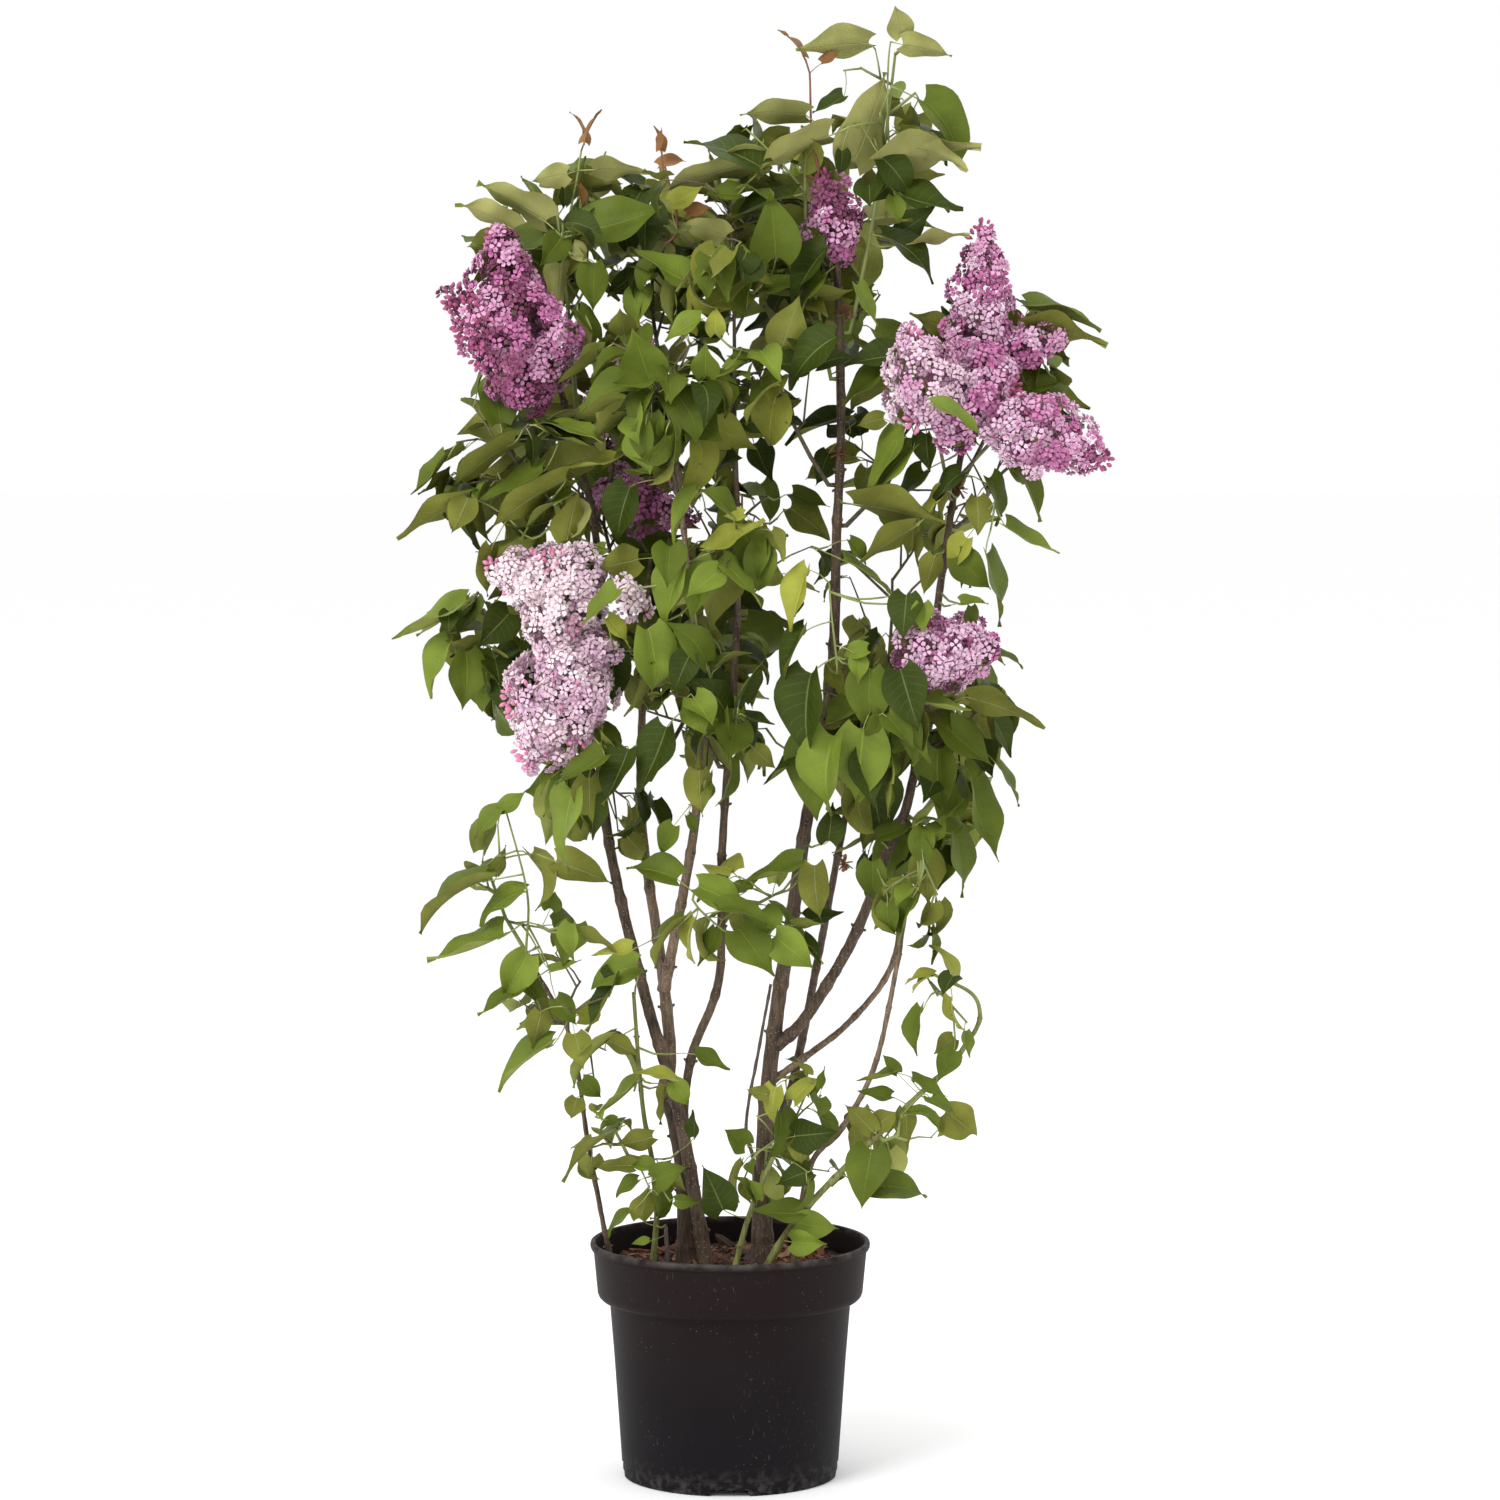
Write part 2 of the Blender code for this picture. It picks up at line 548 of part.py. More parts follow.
def tree_of(meshes):
    """What a candidate piece is tested against: the triangles of these meshes."""
    points = []
    faces = []
    for mesh in meshes:
        offset = len(points)
        points += [vertex.co.copy() for vertex in mesh.vertices]
        faces += [[offset + i for i in face.vertices] for face in mesh.polygons]
    return BVHTree.FromPolygons(points, faces, epsilon=GAP)


def body_volume(faces):
    """Six times the volume that these closed faces hold."""
    total = 0.0
    for face in faces:
        first, *rest = [vertex.co for vertex in face.verts]
        for a, b in zip(rest, rest[1:]):
            total += first.dot(a.cross(b))
    return total


def largest_body(mesh):
    """Drops loose scraps, and fills sealed hollows by dropping their inner skins."""
    shaped = bmesh.new()
    shaped.from_mesh(mesh)
    left = set(shaped.faces)
    bodies = []
    while left:
        body = {left.pop()}
        border = list(body)
        while border:
            for edge in border.pop().edges:
                reached = left.intersection(edge.link_faces)
                left -= reached
                body |= reached
                border += reached
        bodies.append(body)
    bodies.sort(key=body_volume)
    for body in bodies[:-1]:
        bmesh.ops.delete(shaped, geom=list(body), context="FACES")
    loose = [vertex for vertex in shaped.verts if not vertex.link_faces]
    bmesh.ops.delete(shaped, geom=loose, context="VERTS")
    shaped.to_mesh(mesh)
    shaped.free()


def fused(name, base, others, home, finish):
    """One Boolean union of a base mesh with others, applied."""
    made = add_object(name, base, home, finish)
    joined = collection("joined")
    for i, mesh in enumerate(others):
        add_object(f"{name}_{i}", mesh, joined)
    union = made.modifiers.new("join", "BOOLEAN")
    union.operation = "UNION"
    union.operand_type = "COLLECTION"
    union.collection = joined
    union.solver = "MANIFOLD"
    graph = bpy.context.evaluated_depsgraph_get()
    mesh = bpy.data.meshes.new_from_object(made.evaluated_get(graph))
    made.modifiers.remove(union)
    made.data = mesh
    for thing in list(joined.objects):
        bpy.data.objects.remove(thing, do_unlink=True)
    bpy.data.collections.remove(joined)
    largest_body(mesh)
    mesh.name = name
    mesh.materials.clear()
    mesh.materials.append(finish)
    return made


def panicle_mesh(branch, rng):
    """One flower branch: a sphere drawn out along its axis, widest low down, with lobes that wind up it."""
    foot, tip, radius = place(branch[0]), place(branch[1]), branch[2]
    axis = tip - foot
    shaped = bmesh.new()
    bmesh.ops.create_uvsphere(shaped, u_segments=PANICLE_SIDES, v_segments=PANICLE_RINGS, radius=1.0)
    phase = rng.uniform(0.0, math.tau)
    for vertex in shaped.verts:
        x, y, z = vertex.co
        t = (z + 1.0) / 2.0
        girth = math.sqrt(max(0.0, 1.0 - z * z)) * (1.0 - PANICLE_TAPER * (t - PANICLE_WIDEST))
        turn = math.atan2(y, x)
        lobes = 1.0 + PANICLE_LOBES * math.sin(PANICLE_LOBE_COUNT * turn + PANICLE_WIND * t + phase)
        reach = radius * girth * lobes
        vertex.co = (math.cos(turn) * reach, math.sin(turn) * reach, axis.length * (t - 0.5))
    turn = axis.to_track_quat("Z", "Y").to_matrix().to_4x4()
    bmesh.ops.transform(shaped, matrix=Matrix.Translation((foot + tip) / 2) @ turn, verts=shaped.verts)
    mesh = bpy.data.meshes.new("panicle")
    shaped.to_mesh(mesh)
    shaped.free()
    return mesh


def build_head(head, lines, home):
    rng = random.Random(head.name)
    first = place(head.branches[0][0])
    axis = place(head.branches[0][1]) - first
    path = leave_limb(lines[head.limb], head.at, first)
    path = smooth_path([*path, first + axis * 0.1, first + axis * 0.3], 0.03)
    base = tube_mesh(path, linear_radii(path, HEAD_STEM, HEAD_STEM), 4)
    parts = []
    for branch in head.branches:
        parts.append(panicle_mesh(branch, rng))
        if branch is not head.branches[0]:
            foot = place(branch[0])
            arm = [first + axis * 0.25, foot, foot.lerp(place(branch[1]), 0.3)]
            parts.append(tube_mesh(arm, linear_radii(arm, HEAD_ARM, HEAD_ARM), 4))
    return fused(head.name, base, parts, home, material(head.name + "_petals", TINTS[head.tint], 0.6))


def nearest_mass(point):
    """The mass that a point belongs to: the one with the nearest centre, in shares of its reach."""
    return min(MASSES, key=lambda mass: share_of_reach(mass, point))


def share_of_reach(mass, point):
    offset = point - place(mass.centre)
    return math.sqrt(sum((o / r) ** 2 for o, r in zip(offset, mass.reach)))


def mass_twigs(mass, lines, rng):
    """The mass's stem, from its limb up through its space, and the twigs that branch from it."""
    centre = place(mass.centre)
    reach = Vector(mass.reach)
    start = leave_limb(lines[mass.limb], mass.at, centre)
    rise = MASS_RISE - MASS_RISE_LOSS * min(1.0, mass.droop)
    sway = [rng.uniform(-MASS_SWAY, MASS_SWAY) for _ in range(2)]
    top = centre + Vector((sway[0] * reach.x, sway[1] * reach.y, rise * reach.z))
    middle = start[1].lerp(centre, 0.7) - UP * 0.08 * (centre - start[1]).length
    stem = smooth_path([*start, middle, top], MASS_STEM_STEP)
    run = lengths_along(stem)
    twigs = []
    for i in range(mass.shoots):
        far = run[-1] * (TWIGS_FROM + (TWIGS_TO - TWIGS_FROM) * i / max(1, mass.shoots - 1))
        foot = point_along(stem, run, far)
        turn = i * GOLDEN_TURN + rng.uniform(-TWIG_SWAY, TWIG_SWAY)
        level = 2.0 * (i + 0.5) / mass.shoots - 1.0
        ring = math.sqrt(1.0 - level * level)
        aim = Vector((math.cos(turn) * ring, math.sin(turn) * ring, level * TWIG_LEVEL + TWIG_LIFT))
        tip = centre + Vector(a * r for a, r in zip(aim, reach)) * rng.uniform(*TWIG_REACH)
        twigs.append((foot, tip))
    return stem, twigs


def point_along(path, run, far):
    """The point of a path that lies this far along it."""
    for i in range(len(path) - 1):
        if run[i + 1] >= far:
            return path[i].lerp(path[i + 1], (far - run[i]) / (run[i + 1] - run[i]))
    return path[-1].copy()


def twig_mesh(foot, tip):
    shaped = bmesh.new()
    axis = tip - foot
    bmesh.ops.create_cone(
        shaped, segments=3, radius1=TWIG_FOOT, radius2=TWIG_TIP, depth=axis.length, cap_ends=True)
    turn = axis.to_track_quat("Z", "Y").to_matrix().to_4x4()
    bmesh.ops.transform(shaped, matrix=Matrix.Translation((foot + tip) / 2) @ turn, verts=shaped.verts)
    mesh = bpy.data.meshes.new("twig")
    shaped.to_mesh(mesh)
    shaped.free()
    return mesh


def leaf_mesh(root, aim, face, length):
    """A folded blade of eight faces: a stretched octahedron, widest before its middle."""
    shaped = bmesh.new()
    bmesh.ops.create_uvsphere(shaped, u_segments=4, v_segments=2, radius=1.0)
    side = face.cross(aim)
    for vertex in shaped.verts:
        across, high, along = vertex.co
        ends = abs(along) > 0.5
        reach = (1.0 if along > 0.5 else 0.0) if ends else LEAF_WIDEST
        fold = 0.0 if ends else abs(across) * LEAF_FOLD
        drop = LEAF_TIP_DROP if along > 0.5 else 0.0
        vertex.co = (root + aim * reach * length + side * across * length * LEAF_WIDTH / 2
                     + face * (high * length * LEAF_THICKNESS / 2 + fold * length) - UP * drop * length)
    mesh = bpy.data.meshes.new("leaf")
    shaped.to_mesh(mesh)
    shaped.free()
    return mesh


def leaf_places(stem, twigs):
    """Where pairs of leaves stand: on the stem, 0, or on which twig, with the point, direction and turn."""
    places = []
    for i in range(2, len(stem) - 1):
        places.append((0, stem[i], (stem[i + 1] - stem[i]).normalized(), i * math.pi / 2))
    last = stem[-1] - stem[-2]
    places.append((0, stem[-1] - last * 0.15, last.normalized(), 0.4))
    for host, (foot, tip) in enumerate(twigs, 1):
        axis = tip - foot
        count = max(1, round(axis.length / LEAF_STEP))
        for i in range(count):
            far = 0.96 - (count - i - 1) / (count + 0.5)
            places.append((host, foot + axis * far, axis.normalized(), i * math.pi / 2))
    return places


def leaf_aim(mass, along, turn, out, rng):
    """A leaf leaves its twig sideways, leans outwards and hangs by its mass's droop."""
    side = along.orthogonal().normalized()
    side = Matrix.Rotation(turn, 3, along) @ side
    hang = mass.droop * rng.uniform(*LEAF_HANG)
    aim = side * LEAF_SPREAD + along * LEAF_AHEAD + out * LEAF_OUTWARD - UP * hang
    aim.normalize()
    sway = [rng.uniform(-FACE_SWAY, FACE_SWAY) for _ in range(2)]
    face = UP * FACE_UP + out * FACE_OUT + Vector((*sway, 0.0))
    face -= aim * face.dot(aim)
    return aim, face.normalized()


def grow_leaves(mass, stem, twigs, hosts, others, rng):
    """Pairs of leaves along the twigs. One that would leave the space or touch another piece is skipped."""
    centre = place(mass.centre)
    leaves = []
    grown = []
    for host, point, along, turn in leaf_places(stem, twigs):
        out = (point - centre).normalized()
        clear_of = [*others, *(tree for i, tree in enumerate(hosts) if i != host)]
        for half in range(2):
            size = mass.leaf * rng.uniform(*LEAF_SIZES)
            node = point - along * half * PAIR_OFFSET
            for attempt in range(LEAF_TRIES):
                spin = turn + half * math.pi + rng.uniform(-0.35, 0.35) + attempt * 0.5
                aim, face = leaf_aim(mass, along, spin, out, rng)
                leaf = leaf_mesh(node - aim * LEAF_SINK, aim, face, size * (1.0 - LEAF_SHRINK * attempt))
                tree = tree_of([leaf])
                if in_space(mass, leaf) and not any(tree.overlap(other) for other in clear_of + grown):
                    leaves.append(leaf)
                    grown.append(tree)
                    break
                bpy.data.meshes.remove(leaf)
    return leaves


def in_space(mass, leaf):
    corners = [vertex.co for vertex in leaf.vertices]
    if any(share_of_reach(mass, corner) > 1.0 or corner.z < SOIL_TOP for corner in corners):
        return False
    return nearest_mass(sum(corners, Vector()) / len(corners)) is mass


def main():
    clear_scene()
    bpy.context.scene.unit_settings.system = "METRIC"
    home = collection(NAME)
    cutters = collection("cutters")
    cutters.hide_render = True
    build_pot(home, cutters)
    build_soil(home)
    lines = limb_lines()
    limbs = {limb.name: build_limb(limb, lines, home, cutters) for limb in LIMBS}
    heads = [build_head(head, lines, home) for head in HEADS]
    solid = tree_of([thing.data for thing in [*limbs.values(), *heads]])
    grown = {}
    for mass in MASSES:
        rng = random.Random(mass.name)
        stem, twigs = mass_twigs(mass, lines, rng)
        base = tube_mesh(stem, linear_radii(stem, STEM_FOOT, STEM_TIP), 4)
        kept = []
        for foot, tip in twigs:
            twig = twig_mesh(foot, tip)
            if tree_of([twig]).overlap(solid):
                bpy.data.meshes.remove(twig)
            else:
                kept.append((foot, tip, twig))
        grown[mass.name] = (rng, stem, base, kept)
    frames = {}
    for name, (rng, stem, base, kept) in grown.items():
        frames[name] = tree_of([base, *(twig for _, _, twig in kept)])
    done = {}
    for mass in MASSES:
        rng, stem, base, kept = grown[mass.name]
        others = [solid, *(tree for name, tree in frames.items() if name != mass.name), *done.values()]
        hosts = [tree_of([base]), *(tree_of([twig]) for _, _, twig in kept)]
        leaves = grow_leaves(mass, stem, [(foot, tip) for foot, tip, _ in kept], hosts, others, rng)
        colour = LEAF_YOUNG if mass.name in YOUNG_MASSES else LEAF_GREEN
        parts = [twig for _, _, twig in kept] + leaves
        made = fused(mass.name, base, parts, home, material(mass.name + "_green", colour, 0.5))
        done[mass.name] = tree_of([made.data])


main()
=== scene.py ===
"""Potted lilac bush in flower: bark, shoots, leaves, blossom, compost and nursery pot, dressed over its solids.

Metres, +Z up, the origin under the middle of the pot. Limbs, flower heads and leaf masses are placed by how
far across and how far up they are seen from the eye, and by how far behind the pot's middle they stand.
"""

import json
import math
import random
from collections import namedtuple

import bpy
import numpy as np
from mathutils import Matrix, Vector, noise
from mathutils.bvhtree import BVHTree
from mathutils.kdtree import KDTree

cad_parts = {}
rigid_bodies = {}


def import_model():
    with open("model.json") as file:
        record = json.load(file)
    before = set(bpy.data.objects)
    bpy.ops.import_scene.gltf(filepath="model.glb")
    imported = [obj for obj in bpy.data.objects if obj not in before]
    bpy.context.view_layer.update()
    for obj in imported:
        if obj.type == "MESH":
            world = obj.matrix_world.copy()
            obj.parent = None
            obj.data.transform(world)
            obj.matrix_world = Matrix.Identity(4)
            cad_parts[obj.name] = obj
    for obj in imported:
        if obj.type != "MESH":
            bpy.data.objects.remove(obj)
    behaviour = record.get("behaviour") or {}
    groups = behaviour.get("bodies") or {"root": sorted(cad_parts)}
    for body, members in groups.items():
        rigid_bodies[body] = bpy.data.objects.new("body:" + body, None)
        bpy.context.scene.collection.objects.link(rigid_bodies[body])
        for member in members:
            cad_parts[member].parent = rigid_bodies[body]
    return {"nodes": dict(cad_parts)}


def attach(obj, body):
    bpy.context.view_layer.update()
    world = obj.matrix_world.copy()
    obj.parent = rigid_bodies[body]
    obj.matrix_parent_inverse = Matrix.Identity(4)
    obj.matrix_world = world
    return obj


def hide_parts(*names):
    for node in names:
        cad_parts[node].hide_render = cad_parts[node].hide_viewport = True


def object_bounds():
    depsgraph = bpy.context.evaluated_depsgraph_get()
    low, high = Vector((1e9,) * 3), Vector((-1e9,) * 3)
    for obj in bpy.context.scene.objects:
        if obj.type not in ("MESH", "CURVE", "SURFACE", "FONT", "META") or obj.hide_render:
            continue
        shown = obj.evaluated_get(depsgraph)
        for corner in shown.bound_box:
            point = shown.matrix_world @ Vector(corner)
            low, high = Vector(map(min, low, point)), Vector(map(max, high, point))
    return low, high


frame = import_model()
cad_low, cad_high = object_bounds()

UP = Vector((0.0, 0.0, 1.0))
EYE = Vector((0.020, -5.45, 1.225))
AIM = Vector((0.020, 0.0, 0.734))
LENS = 131.35
FLOOR_SIZE = 30.0
FLOOR_MIDDLE = (0.0, 8.0, -0.0005)
FLOOR_PAINT = (0.99, 0.99, 0.99, 1.0)
# Each lamp's name, place, size and power
LAMPS = (
    ("key", (-1.9, -2.6, 3.3), 1.8, 98.0), ("fill", (2.6, -2.4, 1.8), 2.6, 8.0), ("top", (0.3, 0.8, 3.6), 2.2, 20.0))
LAMP_AIM = Vector((0.0, 0.0, 0.8))

GAP = 0.0003

# Pot
POT_HEIGHT = 0.238
POT_LIP_RADIUS = 0.141
POT_LIP_HEIGHT = 0.007
POT_BAND_TOP_RADIUS = 0.1378
POT_BAND_LOW_RADIUS = 0.1340
POT_BAND_HEIGHT = 0.058
POT_BODY_TOP_RADIUS = 0.1210
UNDER_BAND = POT_HEIGHT - POT_BAND_HEIGHT
POT_FOOT_RADIUS = 0.1085
POT_WALL = 0.0022
POT_FLOOR = 0.0030
POT_FOOT_RING_WIDTH = 0.0080
POT_FOOT_RING_HEIGHT = 0.0065
POT_PAD_RADIUS = 0.030
NOTCH_WIDTH = 0.044
NOTCH_HEIGHT = 0.0060
NOTCHES = 4

# Compost
SOIL_TOP = 0.213

# Wood
FOOT_DEPTH = 0.008
FLARE_HEIGHT = 0.030
LIMB_STEP = 0.072
FORK_SHARE = 0.6

# Leaf masses
STEM_FOOT = 0.0030
STEM_TIP = 0.0020
TWIG_FOOT = 0.0024
TWIG_TIP = 0.0016
GOLDEN_TURN = math.radians(137.5)
MASS_RISE = 0.45
MASS_RISE_LOSS = 0.40
MASS_SWAY = 0.2
MASS_BEND = 0.7
MASS_SAG = 0.08
MASS_STEM_STEP = 0.045
TWIGS_FROM = 0.45
TWIGS_TO = 0.95
TWIG_SWAY = 0.4
TWIG_LEVEL = 0.85
TWIG_LIFT = 0.1
TWIG_REACH = (0.45, 0.62)
LEAVE_TIP = 0.012
LEAVE_SIDE = 0.006

Limb = namedtuple("Limb", "name parent foot tip flare path")
Head = namedtuple("Head", "name limb at tint branches")
Mass = namedtuple("Mass", "name limb at centre reach shoots leaf droop")
Shoot = namedtuple("Shoot", "tone back path")
Spray = namedtuple("Spray", "back leaves")

# Each path is seen across, up and behind, from the foot to the tip
LIMBS = (
    Limb("trunk_left", "soil", 0.0112, 0.0095, 0.55, (
        (-0.039, 0.205, 0.000), (-0.044, 0.300, 0.004), (-0.054, 0.360, 0.006), (-0.062, 0.383, 0.008))),
    Limb("stem_left", "soil", 0.0070, 0.0030, 0.15, (
        (-0.022, 0.205, -0.024), (-0.051, 0.365, -0.022), (-0.085, 0.485, -0.010), (-0.121, 0.640, 0.005),
        (-0.133, 0.776, 0.015), (-0.133, 0.942, 0.025), (-0.171, 1.105, 0.000))),
    Limb("bough_left_inner", "trunk_left_tip", 0.0065, 0.0028, 0.0, (
        (-0.062, 0.383, 0.008), (-0.060, 0.425, 0.012), (-0.069, 0.518, 0.018), (-0.087, 0.646, 0.035),
        (-0.089, 0.738, 0.055), (-0.080, 0.915, 0.085))),
    Limb("bough_left_rising", "bough_left_inner", 0.0055, 0.0022, 0.0, (
        (-0.067, 0.490, 0.016), (-0.056, 0.544, -0.004), (-0.034, 0.671, -0.030), (-0.030, 0.812, -0.045),
        (-0.040, 0.896, -0.050), (-0.055, 1.045, -0.040))),
    Limb("bough_centre", "trunk_left", 0.0046, 0.0032, 0.0, (
        (-0.050, 0.337, 0.004), (-0.039, 0.424, -0.004), (-0.011, 0.505, -0.020), (-0.008, 0.633, -0.030),
        (0.007, 0.865, -0.030), (0.005, 1.039, -0.030))),
    Limb("stem_right", "soil", 0.0090, 0.0032, 0.45, (
        (0.033, 0.205, 0.000), (0.035, 0.352, 0.000), (0.047, 0.470, -0.008), (0.061, 0.557, -0.015),
        (0.076, 0.659, -0.020), (0.101, 0.802, -0.025), (0.106, 0.942, -0.030), (0.111, 1.082, -0.030),
        (0.106, 1.220, -0.020))),
    Limb("bough_right_inner", "stem_right", 0.0046, 0.0030, 0.0, (
        (0.036, 0.335, 0.000), (0.057, 0.378, 0.018), (0.072, 0.440, 0.034), (0.104, 0.607, 0.070),
        (0.138, 0.785, 0.105))),
    Limb("bough_right_outer", "stem_right", 0.0060, 0.0030, 0.0, (
        (0.045, 0.435, -0.005), (0.074, 0.462, -0.020), (0.122, 0.541, -0.035), (0.153, 0.620, -0.042),
        (0.183, 0.704, -0.045), (0.214, 0.929, -0.030), (0.231, 1.036, -0.020))),
    Limb("bough_right_low", "stem_right", 0.0036, 0.0024, 0.0, (
        (0.041, 0.399, 0.000), (0.071, 0.421, 0.004), (0.117, 0.457, 0.014), (0.158, 0.508, 0.026),
        (0.173, 0.569, 0.032), (0.178, 0.646, 0.036))),
    Limb("stem_right_thin", "soil", 0.0032, 0.0022, 0.2, (
        (0.062, 0.205, -0.020), (0.080, 0.311, -0.050), (0.111, 0.350, -0.062), (0.143, 0.409, -0.068),
        (0.163, 0.493, -0.068), (0.188, 0.646, -0.062))),
    Limb("stem_centre_thin", "soil", 0.0020, 0.0014, 0.2, (
        (0.022, 0.205, -0.036), (0.024, 0.311, -0.040), (0.016, 0.355, -0.040), (0.029, 0.433, -0.036),
        (0.041, 0.498, -0.032))),
    Limb("sucker_left", "soil", 0.0027, 0.0018, 0.2, (
        (-0.117, 0.205, 0.010), (-0.126, 0.245, 0.006), (-0.143, 0.337, -0.004), (-0.160, 0.442, -0.012),
        (-0.197, 0.516, -0.020))),
    Limb("shoot_left", "soil", 0.0030, 0.0018, 0.2, (
        (-0.079, 0.205, -0.034), (-0.074, 0.286, -0.044), (-0.088, 0.375, -0.048),
        (-0.097, 0.490, -0.050))),
    Limb("shoot_centre", "soil", 0.0030, 0.0022, 0.2, (
        (0.001, 0.205, -0.062), (0.019, 0.263, -0.066), (0.044, 0.324, -0.072))),
    Limb("shoot_right", "soil", 0.0036, 0.0026, 0.2, (
        (0.026, 0.205, -0.070), (0.072, 0.265, -0.080), (0.179, 0.375, -0.092), (0.222, 0.416, -0.092),
        (0.240, 0.442, -0.088))),
    Limb("shoot_right_hook", "shoot_right_tip", 0.0024, 0.0015, 0.0, (
        (0.240, 0.442, -0.088), (0.251, 0.468, -0.084), (0.242, 0.489, -0.080), (0.204, 0.508, -0.076))),
    Limb("stub_dry", "soil", 0.0022, 0.0018, 0.2, (
        (-0.062, 0.205, -0.046), (-0.065, 0.253, -0.050))),
)

# Each branch of a flower head is seen from its foot to its tip, with its greatest radius
HEADS = (
    Head("flowers_left_top", "stem_left", "tip", "plum", (
        ((-0.194, 1.080, -0.030), (-0.231, 1.252, -0.045), 0.046),
        ((-0.225, 1.130, -0.045), (-0.281, 1.190, -0.055), 0.025),
        ((-0.195, 1.125, -0.035), (-0.166, 1.142, -0.050), 0.022),
        ((-0.200, 1.120, -0.035), (-0.216, 1.082, -0.045), 0.022))),
    Head("flowers_top", "stem_right", "tip", "plum", (
        ((0.110, 1.228, -0.018), (0.096, 1.308, -0.030), 0.023),)),
    Head("flowers_right_upright", "bough_right_outer", "tip", "lilac", (
        ((0.248, 1.070, -0.020), (0.252, 1.256, -0.030), 0.037),
        ((0.266, 1.125, -0.030), (0.328, 1.148, -0.040), 0.020))),
    Head("flowers_right_pale", "bough_right_outer", 0.985, "pale", (
        ((0.205, 1.062, -0.095), (0.178, 1.152, -0.105), 0.038),)),
    Head("flowers_right_hanging", "bough_right_outer", 1.010, "pink", (
        ((0.268, 1.062, -0.098), (0.372, 1.024, -0.104), 0.036),
        ((0.262, 1.100, -0.080), (0.214, 1.040, -0.098), 0.034),
        ((0.250, 1.130, -0.050), (0.262, 1.060, -0.085), 0.030))),
    Head("flowers_left_low", "stem_left", 0.870, "white", (
        ((-0.120, 0.893, -0.050), (-0.240, 0.916, -0.068), 0.039),
        ((-0.160, 0.895, -0.055), (-0.185, 0.826, -0.068), 0.037),
        ((-0.112, 0.893, -0.060), (-0.086, 0.878, -0.070), 0.020))),
    Head("flowers_left_hanging", "stem_left", 0.815, "blush", (
        ((-0.150, 0.832, -0.062), (-0.200, 0.716, -0.074), 0.050),
        ((-0.148, 0.832, -0.066), (-0.112, 0.832, -0.076), 0.021))),
    Head("flowers_right_middle", "bough_right_outer", 0.775, "pink", (
        ((0.172, 0.826, -0.110), (0.264, 0.836, -0.115), 0.038),)),
    Head("flowers_inner", "bough_left_inner", "tip", "plum", (
        ((-0.132, 0.992, 0.058), (-0.036, 0.968, 0.040), 0.025),)),
    Head("flowers_back_left", "stem_left", 0.960, "lilac", (
        ((-0.110, 1.030, 0.120), (-0.085, 1.150, 0.190), 0.038),)),
    Head("flowers_back_right", "bough_right_inner", "tip", "pink", (
        ((0.190, 0.805, 0.140), (0.245, 0.862, 0.190), 0.034),)),
)
HEAD_STEM = 0.0022
# Flower heads further back than this may be hidden by leaves
SHOWN_DEPTH = 0.045
PANICLE_WIDEST = 0.40
PANICLE_TAPER = 0.75
PANICLE_LOBES = 0.20
PANICLE_LUMPS = 0.30
PANICLE_GRAIN = 24.0
PANICLE_LOBE_COUNT = 3
PANICLE_WIND = 7.0

